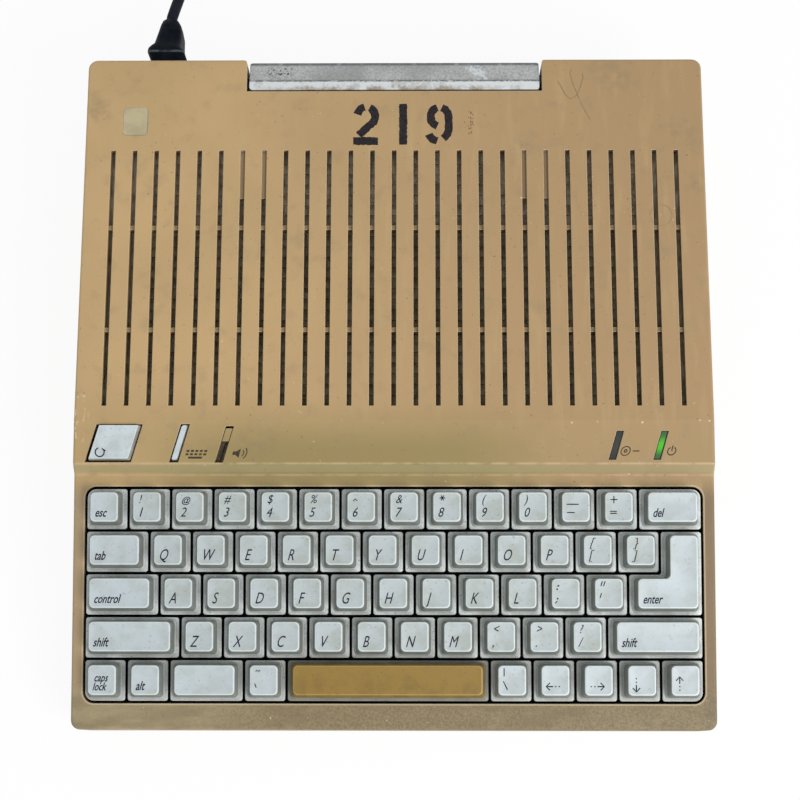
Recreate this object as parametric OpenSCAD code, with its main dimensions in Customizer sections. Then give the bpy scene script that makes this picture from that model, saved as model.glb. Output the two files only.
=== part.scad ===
// Compact home computer: keyboard, board, disk drive and power supply in one low wedge-shaped case.
// Millimetres. Origin: middle of the footprint, on the surface the feet stand on.
// X runs to the right, Y to the rear, Z up.

/* [Case] */
// Height of the rear top edge above the table
rear_h = 63.1; // [60:0.1:70]
// Thickness of the moulded walls
wall = 2.8; // [2:0.1:3.2]
// Height of the seam between the two case halves
seam_z = 12.5; // [11.5:0.1:13]
// Radius of the upright corners at the front
front_corner_r = 4; // [3:0.5:6]
// Radius of the upright corners at the rear
rear_corner_r = 4.5; // [3.5:0.1:5]
// Rounding of the top edges
edge_r = 1.2; // [1:0.1:2.4]
// Clearance between faces that seat on each other
seat_gap = 0.1; // [0.05:0.01:0.2]
// Clearance round a piece in its opening
fit_gap = 0.3; // [0.2:0.05:0.5]

/* [Top surface] */
// Slope of the rear deck, degrees
deck_slope = 3.2; // [2:0.1:4]
// Slope of the control strip, degrees
strip_slope = 8; // [6:0.5:9]
// Slope of the keyboard, degrees
key_slope = 10; // [9:0.5:11]
// Length of the rear deck along Y
deck_len = 171.8; // [170:0.1:173]
// Length of the control strip along Y
strip_len = 19.4; // [19.2:0.1:20]
// Length along Y of the ramp between strip and keyboard
ramp_len = 4; // [3:0.1:6]
// Height of that ramp
ramp_drop = 3.8; // [2.5:0.1:5]

/* [Vents] */
// Number of vent slots in the deck
slot_count = 27; // [15:2:27]
// Distance from the side of the case to the middle of the first slot
slot_margin = 13.35; // [12:0.05:16]
// Width of a slot
slot_w = 2.2; // [1.8:0.1:3]
// Distance from the crease to the front end of the slots
slot_start = 6.5; // [5:0.5:10]
// Plain stretch of the deck behind the slots
deck_land = 44.9; // [42:0.1:52]
// Width of the cross ribs under the slots
rib_w = 2; // [1.5:0.1:3]
// Depth of the cross ribs below the deck
rib_depth = 1.2; // [0.8:0.1:2]
// Length of the blind rear part of four of the slots
blind_len = 23; // [15:0.5:30]
// Depth of the shield sheet below the deck
shield_depth = 6; // [5.5:0.1:7]
// Thickness of the shield sheet
shield_t = 0.8; // [0.5:0.1:1]

/* [Keyboard] */
// Distance from one key to the next
key_pitch = 19.05; // [18.8:0.01:19.1]
// Gap between two key skirts
key_gap = 0.8; // [0.6:0.05:1]
// Margin between the outer skirts and the well
well_margin = 1; // [0.6:0.05:1.2]
// Width of the case beside the well
side_bezel = 5.3; // [5:0.1:9]
// Depth of the case in front of the well
front_bezel = 11.4; // [10:0.1:16]
// Depth of the case between the well and the ramp
back_bezel = 5.7; // [4:0.1:10]
// Height of a key's skirt
skirt_h = 2.5; // [2:0.1:3]
// How far the skirt's top stands above the case
skirt_rise = 0.3; // [0:0.1:1]
// Height of the cap above its skirt
cap_h = 7.4; // [7:0.1:8]
// Width of the cap at its foot, one-unit key
cap_foot_w = 15.2; // [15:0.1:16]
// Depth of the cap at its foot
cap_foot_d = 15.6; // [15:0.1:16]
// Width of the cap at its top, one-unit key
cap_top_w = 12.3; // [12:0.1:13]
// Depth of the cap at its top
cap_top_d = 13.1; // [12:0.1:13.5]
// Shift of the cap's top towards the rear
cap_lean = 1.1; // [0.5:0.1:1.4]
// Depth of the hollow in the cap's top
dish_depth = 0.45; // [0.2:0.05:0.7]
// Travel of a key
key_travel = 3.5; // [3:0.1:3.8]

/* [Controls] */
// Slant of the controls on the strip, degrees
slant = 16.5; // [10:0.5:20]
// Width of the reset button
reset_w = 19.4; // [18:0.1:19.8]
// Depth of the reset button along the strip
reset_d = 15.6; // [14:0.1:15.8]
// Gap round the reset button
reset_gap = 0.7; // [0.5:0.05:0.8]
// How far the reset button stands above the strip
reset_rise = 1.3; // [0.5:0.1:2]
// Width of the keyboard switch
switch_w = 3.3; // [3:0.1:4]
// Width of the volume knob
volume_w = 3.1; // [2.6:0.1:3.6]
// Length of the slots of the switch and the volume knob
control_len = 17.2; // [16:0.1:17.4]
volume_slot_len = 16.4; // [15:0.1:16.6]
// Length of the volume knob
volume_len = 5.8; // [4:0.1:7]
// Width of the two light windows
light_w = 3.1; // [2.5:0.1:4]
// Length of the two light windows
light_len = 12.8; // [10:0.1:14]

/* [Handle] */
// Width of the rear notch that holds the handle
notch_w = 138.4; // [137:0.1:139]
// Depth of the notch from the rear face
notch_d = 15.8; // [15:0.1:16.5]
// Gap between the handle and the notch at each side
handle_gap = 1.2; // [1:0.1:2]
// Height of the handle's pivot
pivot_z = 20; // [19.5:0.1:22]
// Width of a handle arm
arm_w = 8; // [6:0.1:9]
// Height of the grip bar
grip_h = 11; // [9:0.5:13]
// Radius of the pivot pins
pin_r = 2.5; // [2:0.1:3]
// Running clearance of the pins in the arms
pin_play = 0.06; // [0.03:0.01:0.09]

/* [Inside] */
// Width of the disk slot
disk_slot_w = 94; // [92:0.5:95]
// Height of the disk slot
disk_slot_h = 5.2; // [5:0.1:6]
// Room between the disk drive and the shield sheet
drive_clear = 5; // [2:0.1:8]
// Length of the disk drive across the case
drive_len = 148; // [140:0.5:149]
// Width of the disk drive along Y
drive_w = 101.6; // [100:0.1:102]
// Height of the disk drive
drive_h = 25.4; // [24:0.1:26]
// Thickness of the circuit boards
board_t = 1.6; // [1:0.1:2]
// Height of the main board's underside above the table
board_z = 9; // [8.5:0.1:9.5]

/* [Mains lead] */
// Diameter of the mains lead
cord_dia = 5.5; // [5.5:0.1:5.6]
// Height of the inlet's middle above the table
inlet_z = 30; // [29:0.5:31]

/* [Hidden] */
$fn = 48;

// Keyboard: rows from rear to front, each entry is a node's name, a key's width in units and
// how many equal keys the node holds
key_rows = [
    [["escape_key", 1, 1], ["number_keys_left", 1, 4], ["number_keys_middle", 1, 4],
        ["number_keys_right", 1, 4], ["delete_key", 1.5, 1]],
    [["tab_key", 1.5, 1], ["upper_keys_left", 1, 4], ["upper_keys_middle", 1, 4], ["upper_keys_right", 1, 4]],
    [["control_key", 1.75, 1], ["home_keys_left", 1, 4], ["home_keys_middle", 1, 4],
        ["home_keys_right", 1, 3], ["return_key", 1.75, 1]],
    [["left_shift_key", 2.25, 1], ["lower_keys_left", 1, 4], ["lower_keys_middle", 1, 3],
        ["lower_keys_right", 1, 3], ["right_shift_key", 2.25, 1]],
    [["caps_key", 1, 1], ["option_key", 1, 1], ["command_key", 1.75, 1], ["tilde_key", 1, 1],
        ["space_bar", 4.75, 1], ["backslash_key", 1, 1], ["left_arrow_key", 1, 1],
        ["right_arrow_key", 1, 1], ["down_arrow_key", 1, 1], ["up_arrow_key", 1, 1]],
];
KEY_NODES = [for (row = key_rows, entry = row) entry[0]];
row_count = len(key_rows);
row_units = 14.5;
key_field_w = row_units * key_pitch - key_gap;
key_field_d = row_count * key_pitch - key_gap;
well_w = key_field_w + 2 * well_margin;
well_d = key_field_d + 2 * well_margin;
well_r = 5;

// Outline of the case and of its top surface, from rear to front. The keyboard sets the width, and the
// lengths of the four surfaces add up to the depth
case_w = well_w + 2 * side_bezel;
case_d = deck_len + strip_len + ramp_len + back_bezel + well_d * cos(key_slope) + front_bezel;
rear_y = case_d / 2;
front_y = -case_d / 2;
crease_y = rear_y - deck_len;
ramp_top_y = crease_y - strip_len;
ramp_foot_y = ramp_top_y - ramp_len;
crease_z = rear_h - deck_len * tan(deck_slope);
ramp_top_z = crease_z - strip_len * tan(strip_slope);
ramp_foot_z = ramp_top_z - ramp_drop;
ramp_slope = atan(ramp_drop / ramp_len);
front_z = ramp_foot_z - (ramp_foot_y - front_y) * tan(key_slope);
function top_z(y) =
    y >= crease_y ? crease_z + (y - crease_y) * tan(deck_slope)
    : y >= ramp_top_y ? ramp_top_z + (y - ramp_top_y) * tan(strip_slope)
    : y >= ramp_foot_y ? ramp_foot_z + (y - ramp_foot_y) * tan(ramp_slope)
    : ramp_foot_z - (ramp_foot_y - y) * tan(key_slope);
well_y = front_y + front_bezel + well_d / 2 * cos(key_slope);
well_z = top_z(well_y);
deck_run = deck_len / cos(deck_slope);
slot_pitch = (case_w - 2 * slot_margin) / (slot_count - 1);
slot_len = deck_run - slot_start - deck_land;
inner_x = case_w / 2 - wall;
inner_rear_y = rear_y - wall;
inner_front_y = front_y + wall;
notch_y = rear_y - notch_d;
notch_x = notch_w / 2;
mouth_r = 2;

// Rounding of the case: steps of its upright corners and of its top edges, and how far the front and the
// rear body run into each other
corner_steps = 6;
edge_angles = [0, 22.5, 45, 67.5, 90];
body_overlap = 2.5;

// How far the shield sheet reaches past the outermost slots
shield_lap = 2.3;

// Feet, floor and screws
foot_h = 2;
foot_inset = 0.6;
foot_r = 7;
foot_x = case_w / 2 - 24;
foot_y = case_d / 2 - 22.5;
floor_z = foot_h + wall;
screw_r = 1.5;
screw_head_r = 3.1;
screw_head_h = 2.2;
screw_slot_w = 0.8;
screw_clear = 0.12;
boss_r = 3.5;
screw_seat_z = foot_h + 4;
screw_top_z = front_z - wall - 3;
side_boss_y = crease_y + 5;
side_boss_x = inner_x - boss_r - 1;
rear_boss_x = notch_x + wall + boss_r + 0.3;
rear_boss_y = inner_rear_y - boss_r - 1;
front_boss_y = inner_front_y + boss_r + 0.2;
screw_places = [for (side = [-1, 1], place = [[100, front_boss_y], [side_boss_x, side_boss_y],
    [rear_boss_x, rear_boss_y]]) [side * place[0], place[1]]];

// The return key covers one unit of the upper row at its right end
return_upper_units = 1;
// The outer corners of the four corner keys follow the well's round corners
skirt_r = 0.8;
corner_keys = [["escape_key", [-1, 1]], ["delete_key", [1, 1]], ["caps_key", [-1, -1]], ["up_arrow_key", [1, -1]]];
// Units to the left of one entry of a row
function units_before(row, index) = index == 0 ? 0
    : units_before(row, index - 1) + row[index - 1][1] * row[index - 1][2];
// Places of the keys of one node: [name, middle in x, middle in y, width in units]
function row_s(r) = ((row_count - 1) / 2 - r) * key_pitch;
keys = [for (r = [0 : row_count - 1], i = [0 : len(key_rows[r]) - 1], k = [0 : key_rows[r][i][2] - 1])
    let (entry = key_rows[r][i], left = units_before(key_rows[r], i) + k * entry[1])
        [entry[0], (left + entry[1] / 2 - row_units / 2) * key_pitch, row_s(r), entry[1]]];

// Levels below the keyboard, along its normal, from the case's surface
skirt_foot = skirt_rise - skirt_h;
cap_top = skirt_rise + cap_h;
cap_roof = 1.6;
cap_root = 0.3;
cap_edge = 0.5;
cap_foot_r = 1.6;
cap_top_r = 2;
stem_r = 2.3;
stem_len = 7.4;
switch_neck = 9.8;
switch_body = 12.6;
switch_shoulder = skirt_foot - 1.2;
switch_top = cap_top - cap_roof - key_travel - 0.7;
plate_level = -9;
plate_t = 1.2;
plate_margin = 1.2;
key_board_level = -13.5;
key_board_x = inner_x - 9;

// Control strip: middles along X and along the slope from the crease
reset_x = 18.3 - case_w / 2;
reset_s = -10.5;
reset_top = [18.8, 15];
reset_top_shift = [-0.2, 0.3];
switch_x = reset_x + 29.6;
volume_x = switch_x + 20.15;
control_s = -10.5;
volume_s = -11;
power_light_x = case_w / 2 - 24.2;
disk_light_x = power_light_x - 20;
light_s = -11.4;
control_depth = 6;
body_level = -8.4;
pocket_depth = 4;
stem_entry = 1;
switch_stem_w = 2.4;
volume_stem_w = 1.6;
// How far the keyboard switch sits behind the middle of its slot
switch_shift = 0.1;
reset_stem_r = 2.5;

// Handle
handle_x = notch_x - handle_gap;
handle_clear = 0.7;
handle_front_y = notch_y + handle_clear;
handle_d = rear_y - handle_front_y - 0.3;
pivot_y = handle_front_y + handle_d / 2;
handle_top = top_z(handle_front_y) + 0.1;
handle_flat = 4.2;
handle_fall = 2;
handle_corner_r = 1.4;

// Inside pieces
function shield_foot(y) = top_z(y) - (shield_depth + shield_t) / cos(deck_slope);
drive_x = inner_x - 0.2;
drive_y = crease_y + 12.2 + drive_w / 2;
drive_rear_x = drive_x - drive_len;
drive_front_y = drive_y - drive_w / 2;
drive_rear_y = drive_y + drive_w / 2;
drive_z = shield_foot(drive_front_y) - drive_clear - drive_h;
disk_slot_z = drive_z + 13;
post_r = 4;
post_inset = 8;
supply_x = [3 - inner_x, 57.2 - inner_x];
supply_y = [crease_y + 63, rear_y - 21.5];
supply_z = [12, shield_foot(supply_y[0]) - 4.2];
inlet_x = 30.6 - case_w / 2;
rocker_x = inlet_x - 19.2;
inlet_w = 21.6;
inlet_h = 28.4;
inlet_depth = 20;
rocker_w = 10.4;
rocker_h = 17.2;
rocker_tilt = 7;
rocker_back = 4.6;
speaker_x = 41 - case_w / 2;
speaker_y = crease_y + 29;
speaker_r = 24;
speaker_z = 8;
speaker_rim = 3;
magnet_r = 14;
speaker_h = 14;
port_z = 20;
port_depth = 12;
eject_y = drive_y + 33;
eject_z = disk_slot_z - 8;
eject_w = 11;
eject_h = 4.6;
board_x = key_board_x;
board_top = board_z + board_t;
// The main board starts where there is room for it under the keyboard's board
key_stack = (board_t - key_board_level) / cos(key_slope);
room_y = ramp_foot_y - (ramp_foot_z - key_stack - board_top - 2) / tan(key_slope);
board_front = max(inner_front_y + 2 * boss_r + 4, room_y);
main_board_rear = notch_y - wall - 0.5;
badge_w = 11.4;
badge_d = 13.4;
badge_t = 0.6;
badge_x = 23.1 - case_w / 2;
badge_s = deck_run - 30.6;

// Mains lead: points of the free stretch from the strain relief to the coil, and of the tail
cord_r = cord_dia / 2;
cord_route = [[-111.5, 191.5, 30], [-111.5, 192.5, 30], [-110.8, 195.5, 29.9], [-109.6, 200.5, 29.2],
    [-108.3, 207, 27.3], [-107.2, 215, 23.8], [-106.3, 224, 18.9], [-105.5, 233, 13.6], [-104.9, 242, 9],
    [-104.4, 251, 5.6], [-104.1, 260, 3.6], [-104, 270, 2.8], [-104, 285, 2.8]];
coil_turns = 4;
coil_layers = 2;
coil_mid_r = 33;
coil_inner_r = coil_mid_r - coil_turns * cord_r;
coil_outer_r = coil_mid_r + coil_turns * cord_r;
coil_x = cord_route[len(cord_route) - 1][0] + coil_outer_r - cord_r;
coil_y = 300;
tail_x = coil_x + coil_outer_r - cord_r;
tail_z = (coil_layers - 0.5) * cord_dia;
plug_z = 10;
plug_y = coil_y - 29;
tail_route = [[tail_x, coil_y, tail_z], [tail_x, coil_y - 7, 8.3], [tail_x, coil_y - 14, 8.7],
    [tail_x, coil_y - 20, 9.5], [tail_x, coil_y - 25, plug_z], [tail_x, plug_y, plug_z]];

case_colour = [0.74, 0.61, 0.45];
key_colour = [0.80, 0.81, 0.79];
space_colour = [0.62, 0.49, 0.26];
handle_colour = [0.66, 0.66, 0.64];
steel_colour = [0.62, 0.63, 0.64];
black_colour = [0.12, 0.12, 0.13];
board_colour = [0.10, 0.34, 0.20];

// ---------------------------------------------------------------- frames of the sloping surfaces
module on_deck() translate([0, crease_y, crease_z]) rotate([deck_slope, 0, 0]) children();
module on_strip() translate([0, crease_y, crease_z]) rotate([strip_slope, 0, 0]) children();
module on_keys() translate([0, well_y, well_z]) rotate([key_slope, 0, 0]) children();
module along_x() rotate([90, 0, 90]) children();
module mirrored_x() {
    children();
    mirror([1, 0, 0]) children();
}

// ---------------------------------------------------------------- small shapes
// Rounded rectangle about the origin, made of squares and circles so that its corners are true arcs
module rounded_rect(w, d, r) {
    square([w - 2 * r, d], center = true);
    square([w, d - 2 * r], center = true);
    for (sx = [-1, 1], sy = [-1, 1]) translate([sx * (w / 2 - r), sy * (d / 2 - r)]) circle(r);
}
// Bar with round ends along Y
module long_hole(w, len) {
    square([w, len - w], center = true);
    for (end = [-1, 1]) translate([0, end * (len - w) / 2]) circle(w / 2);
}
// Parallelogram that leans to the left towards the front
function slanted_points(w, len) = let (shift = len / 2 * tan(slant))
    [[-w / 2 - shift, -len / 2], [w / 2 - shift, -len / 2], [w / 2 + shift, len / 2], [-w / 2 + shift, len / 2]];
module slanted(w, len) polygon(slanted_points(w, len));
module block(low, high) translate(low) cube(high - low);
// Round corner of an outline, a quarter circle that starts at the angle from
function corner_arc(x, y, r, from, steps) = [for (i = [0 : steps]) let (a = from + 90 * i / steps)
    [x + r * cos(a), y + r * sin(a)]];
function round_outline(w, d, r, steps = 4) = concat(corner_arc(w / 2 - r, d / 2 - r, r, 0, steps),
    corner_arc(r - w / 2, d / 2 - r, r, 90, steps), corner_arc(r - w / 2, r - d / 2, r, 180, steps),
    corner_arc(w / 2 - r, r - d / 2, r, 270, steps));
module hull_of(points) hull() polyhedron(points, [for (i = [0 : len(points) - 3]) [i, i + 1, i + 2]]);

// ---------------------------------------------------------------- case
// Surface of the deck, the strip and the ramp. The ramp goes on below the keyboard's surface
function deck_surface(y) = y >= ramp_top_y ? top_z(y) : ramp_top_z + (y - ramp_top_y) * tan(ramp_slope);
function key_surface(y) = ramp_foot_z - (ramp_foot_y - y) * tan(key_slope);
function half_w(inset) = case_w / 2 - inset;
rear_arc_x = case_w / 2 - rear_corner_r;
front_arc_x = case_w / 2 - front_corner_r;
// Outlines of the rear and the front body, drawn in by inset at the edges that show
function rear_plan(inset) = concat(
    [for (y = [ramp_foot_y - body_overlap, ramp_top_y, crease_y], side = [-1, 1]) [side * half_w(inset), y]],
    corner_arc(rear_arc_x, rear_y - rear_corner_r, rear_corner_r - inset, 0, corner_steps),
    corner_arc(-rear_arc_x, rear_y - rear_corner_r, rear_corner_r - inset, 90, corner_steps));
function front_plan(inset) = concat(
    [for (side = [-1, 1]) [side * half_w(inset), ramp_foot_y + 3 * body_overlap]],
    corner_arc(-front_arc_x, front_y + front_corner_r, front_corner_r - inset, 180, corner_steps),
    corner_arc(front_arc_x, front_y + front_corner_r, front_corner_r - inset, 270, corner_steps));
body_foot_z = seam_z + seat_gap / 2;
// The points of a body: its outline at the seam, and the outlines that round its top edge
rear_points = concat([for (p = rear_plan(0)) [p[0], p[1], body_foot_z]],
    [for (a = edge_angles, p = rear_plan(edge_r * (1 - cos(a)))) [p[0], p[1], deck_surface(p[1]) - edge_r * (1 - sin(a))]]);
front_points = concat([for (p = front_plan(0)) [p[0], p[1], body_foot_z]],
    [for (a = edge_angles, p = front_plan(edge_r * (1 - cos(a)))) [p[0], p[1], key_surface(p[1]) - edge_r * (1 - sin(a))]]);
module case_outer() {
    hull_of(rear_points);
    hull_of(front_points);
}
// Hollow inside the upper shell
module case_hollow() {
    difference() {
        translate([-inner_x, 0, 0]) along_x() linear_extrude(2 * inner_x) polygon([
            [inner_front_y, seam_z - 1], [inner_rear_y, seam_z - 1],
            [inner_rear_y, top_z(inner_rear_y) - wall], [crease_y, crease_z - wall],
            [ramp_top_y, ramp_top_z - wall], [ramp_foot_y, ramp_foot_z - wall],
            [inner_front_y, top_z(inner_front_y) - wall]]);
        block([-notch_x - wall, notch_y - wall, 0], [notch_x + wall, rear_y, rear_h]);
        for (p = screw_places) translate([p[0], p[1], 0]) cylinder(r = boss_r, h = rear_h);
        // rails that carry the pivot pins' outer ends
        mirrored_x() translate([notch_x, 0, 0]) along_x() linear_extrude(5) translate([pivot_y, pivot_z]) circle(5);
    }
}
// Its mouth opens out in two round corners
module rear_notch() {
    translate([0, 0, -1]) linear_extrude(rear_h + 2) polygon(concat([[-notch_x, notch_y], [notch_x, notch_y]],
        [for (a = [180 : -15 : 90]) [notch_x + mouth_r * (1 + cos(a)), rear_y - mouth_r * (1 - sin(a))]],
        [[notch_x + mouth_r, rear_y + 1], [-notch_x - mouth_r, rear_y + 1]],
        [for (a = [90 : 15 : 180]) [-notch_x - mouth_r * (1 + cos(a)), rear_y - mouth_r * (1 - sin(a))]]));
}
slot_x = [for (i = [0 : slot_count - 1]) (i - (slot_count - 1) / 2) * slot_pitch];
// Four slots are blind at their rear ends, where they pass over solid metal inside
blind_slots = [6, 7, slot_count - 8, slot_count - 7];
module vent_slots() {
    for (i = [0 : slot_count - 1]) {
        blind = len(search(i, blind_slots)) > 0 ? blind_len : 0;
        translate([slot_x[i], slot_start + (slot_len - blind) / 2, -shield_depth])
            linear_extrude(2 * shield_depth) square([slot_w, slot_len - blind], center = true);
        if (blind > 0) translate([slot_x[i], slot_start + slot_len / 2, -rib_depth])
            linear_extrude(2 * rib_depth) square([slot_w, slot_len], center = true);
    }
}
module vent_ribs() {
    span = (slot_count - 1) * slot_pitch + 3 * slot_w;
    for (share = [0.293, 0.693]) translate([-span / 2, slot_start + slot_len * share - rib_w / 2,
        -shield_depth + seat_gap]) cube([span, rib_w, shield_depth - rib_depth - seat_gap]);
}
module port_openings() {
    for (port = all_ports) translate([port[0], port[1], port_z]) rotate([90, 0, 0])
        translate([0, 0, -4]) linear_extrude(4 + wall + 2) port_outline(port[2], fit_gap);
}
module upper_case() color(case_colour) {
    difference() {
        case_outer();
        case_hollow();
        rear_notch();
        on_deck() vent_slots();
        on_deck() translate([badge_x, badge_s, -badge_t]) linear_extrude(5)
            rounded_rect(badge_w + 0.2, badge_d + 0.2, 1.6);
        on_keys() translate([0, 0, -20]) linear_extrude(40) rounded_rect(well_w, well_d, well_r);
        on_strip() {
            translate([reset_x, reset_s, -wall - 1]) linear_extrude(20)
                slanted(reset_w + 2 * reset_gap, reset_d + 2 * reset_gap);
            translate([switch_x, control_s, -wall - 1]) linear_extrude(20) slanted(switch_w + 0.8, control_len);
            translate([volume_x, volume_s, -wall - 1]) linear_extrude(20) slanted(volume_w + 0.6, volume_slot_len);
            for (x = [disk_light_x, power_light_x]) translate([x, light_s, -wall - 1]) linear_extrude(20)
                slanted(light_w + 0.2, light_len + 0.2);
        }
        port_openings();
        block([rocker_x - rocker_w / 2 - 1.8 - fit_gap, rear_y - 6, inlet_z - inlet_h / 2 - fit_gap],
            [inlet_x + inlet_w / 2 + fit_gap, rear_y + 1, inlet_z + inlet_h / 2 + fit_gap]);
        // disk slot with a finger scoop, and the eject button's hole
        translate([inner_x - 1, drive_y, disk_slot_z]) along_x() linear_extrude(wall + 2)
            rounded_rect(disk_slot_w + 2, disk_slot_h + 1.2, 1.2);
        translate([inner_x - 1, drive_y, disk_slot_z]) along_x() linear_extrude(wall + 2)
            rounded_rect(22, 12, 4);
        translate([inner_x - 1, eject_y, eject_z]) along_x() linear_extrude(wall + 2)
            rounded_rect(eject_w + 2 * fit_gap, eject_h + 2 * fit_gap, 1.6);
        mirrored_x() translate([notch_x - 1, pivot_y, pivot_z]) rotate([0, 90, 0]) cylinder(r = pin_r + 0.02, h = 5.5);
        for (p = screw_places) translate([p[0], p[1], 0]) cylinder(r = screw_r + screw_clear, h = screw_top_z + 1);
    }
    on_deck() vent_ribs();
}

module lower_case() color(case_colour) {
    difference() {
        union() {
            difference() {
                translate([0, 0, foot_h]) linear_extrude(seam_z - seat_gap / 2 - foot_h) case_plan(0);
                translate([0, 0, floor_z]) linear_extrude(seam_z) case_plan(wall);
            }
            lower_posts();
        }
        rear_notch();
        for (sx = [-1, 1], sy = [-1, 1]) translate([sx * foot_x, sy * foot_y, 0])
            cylinder(r = foot_r + 0.1, h = foot_h + foot_inset + seat_gap);
        for (p = screw_places) translate([p[0], p[1], 0]) {
            cylinder(r = screw_r + screw_clear, h = seam_z + 1);
            cylinder(r = screw_head_r + fit_gap, h = screw_seat_z);
        }
        bottom_vents();
    }
    // walls of the notch inside the lower shell
    difference() {
        block([-notch_x - wall, notch_y - wall, foot_h + 1], [notch_x + wall, rear_y - 1, seam_z - seat_gap / 2]);
        rear_notch();
    }
}
// Plan of the lower shell, drawn in by inset
module case_plan(inset) {
    x = half_w(inset);
    rear_r = max(rear_corner_r - inset, 1);
    front_r = max(front_corner_r - inset, 1);
    polygon(concat(
        corner_arc(x - rear_r, rear_y - inset - rear_r, rear_r, 0, corner_steps),
        corner_arc(rear_r - x, rear_y - inset - rear_r, rear_r, 90, corner_steps),
        corner_arc(front_r - x, front_y + inset + front_r, front_r, 180, corner_steps),
        corner_arc(x - front_r, front_y + inset + front_r, front_r, 270, corner_steps)));
}
plate_post_r = 2.4;
plate_post_x = inner_x - plate_post_r - 0.4;
plate_post_y = well_d / 2 - 12;
board_post_y = [board_front + 7, crease_y - 12, main_board_rear - 17];
board_posts = [for (x = [6 - board_x, 0, board_x - 6]) [x, board_post_y[0]],
    for (x = [6 - board_x, -60, 60, board_x - 6]) [x, board_post_y[1]],
    for (x = [-60, 60, board_x - 6]) [x, board_post_y[2]]];
drive_posts = [for (x = [drive_x - post_inset, drive_rear_x + 20], side = [-1, 1])
    [x, drive_y + side * (drive_w / 2 - post_inset)]];
supply_posts = [for (i = [0, 1], j = [0, 1])
    [supply_x[i] + (1 - 2 * i) * post_inset, supply_y[j] + (1 - 2 * j) * post_inset]];
module lower_posts() {
    intersection() {
        for (p = screw_places) translate([p[0], p[1], foot_h]) cylinder(r = boss_r + 1.2, h = seam_z - seat_gap / 2 - foot_h);
        translate([0, 0, foot_h]) linear_extrude(seam_z) case_plan(0.5);
    }
    for (p = board_posts) translate([p[0], p[1], foot_h + 1]) cylinder(r = 3, h = board_z - seat_gap - foot_h - 1);
    for (p = drive_posts) translate([p[0], p[1], foot_h + 1]) cylinder(r = post_r, h = drive_z - seat_gap - foot_h - 1);
    for (p = supply_posts) translate([p[0], p[1], foot_h + 1])
        cylinder(r = post_r, h = supply_z[0] - seat_gap - foot_h - 1);
    // ring under the speaker
    translate([speaker_x, speaker_y, foot_h + 1]) difference() {
        cylinder(r = speaker_r - 1, h = speaker_z - seat_gap - foot_h - 1);
        cylinder(r = speaker_r - speaker_rim, h = 20, center = true);
    }
    // posts under the keyboard plate, cut off along its slope
    difference() {
        for (side = [-1, 1], row = [-1, 0, 1])
            translate([side * plate_post_x, well_y + row * plate_post_y, foot_h + 1])
                cylinder(r = plate_post_r, h = rear_h);
        on_keys() translate([-case_w, -case_d, plate_level - plate_t - seat_gap]) cube([2 * case_w, 2 * case_d, case_d]);
    }
}
module bottom_vents() {
    for (x = [-35 : 7 : 35], y = [-70, 70]) translate([x, y, 0]) linear_extrude(floor_z + 1) long_hole(2.2, 40);
}

module rubber_feet() color(black_colour)
    for (sx = [-1, 1], sy = [-1, 1]) translate([sx * foot_x, sy * foot_y, 0]) rotate_extrude()
        polygon([[0, 0], [foot_r - 1, 0], [foot_r, 1], [foot_r, foot_h + foot_inset], [0, foot_h + foot_inset]]);

module case_screws() color(steel_colour)
    for (p = screw_places) translate([p[0], p[1], screw_seat_z - screw_head_h]) {
        difference() {
            cylinder(r = screw_head_r, h = screw_head_h);
            for (turn = [0, 90]) rotate(turn) cube([screw_slot_w, 2 * screw_head_r - 2.6, screw_head_h], center = true);
        }
        cylinder(r = screw_r, h = screw_top_z - screw_seat_z + screw_head_h);
    }

module blank_badge() color("silver") on_deck()
    translate([badge_x, badge_s, -badge_t + 0.05]) linear_extrude(badge_t) rounded_rect(badge_w, badge_d, 1.5);

// Perforated metal sheet that lies against the cross ribs
module vent_shield() color(steel_colour) on_deck() {
    sheet_w = (slot_count - 1) * slot_pitch + 2 * shield_lap;
    rows = floor(slot_len / 5) - 1;
    difference() {
        translate([-sheet_w / 2, slot_start - 3, -shield_depth - shield_t]) cube([sheet_w, slot_len + 6, shield_t]);
        for (r = [1 : rows], c = [-2 : 2]) translate([c * sheet_w / 5.4, slot_start + r * 5, -shield_depth - 2])
            linear_extrude(4) square([sheet_w / 5.4 - 6, 2], center = true);
    }
}

// ---------------------------------------------------------------- handle
// U-shaped handle: two arms from the pivots and a grip bar across the top
module handle() color(handle_colour) {
    y0 = handle_front_y;
    y1 = handle_front_y + handle_d;
    intersection() {
        translate([0, pivot_y, 0]) linear_extrude(rear_h + 2)
            polygon(round_outline(2 * handle_x, handle_d, handle_corner_r));
        difference() {
            union() {
                translate([-handle_x, 0, 0]) along_x() linear_extrude(2 * handle_x) polygon([
                    [y0, handle_top - grip_h], [y0, handle_top], [y0 + handle_flat, handle_top],
                    [y0 + handle_flat, handle_top - 0.4], [y1 - 0.6, handle_top - handle_fall],
                    [y1, handle_top - handle_fall - 0.6], [y1, handle_top - grip_h]]);
                mirrored_x() translate([handle_x - arm_w, 0, 0]) along_x() linear_extrude(arm_w) {
                    translate([y0, pivot_z]) square([handle_d, handle_top - grip_h / 2 - pivot_z]);
                    translate([pivot_y, pivot_z]) circle(handle_d / 2);
                }
            }
            // hollow under the grip bar
            translate([-handle_x + arm_w + 1, 0, 0]) along_x() linear_extrude(2 * (handle_x - arm_w - 1))
                polygon([[y0 + 2.2, handle_top - grip_h - 1], [y1 - 2.2, handle_top - grip_h - 1],
                    [y1 - 2.2, handle_top - grip_h / 2], [y0 + 2.2, handle_top - grip_h / 2]]);
            mirrored_x() translate([handle_x - arm_w - 1, pivot_y, pivot_z]) rotate([0, 90, 0])
                cylinder(r = pin_r + pin_play, h = arm_w + 2);
        }
    }
}
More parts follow.
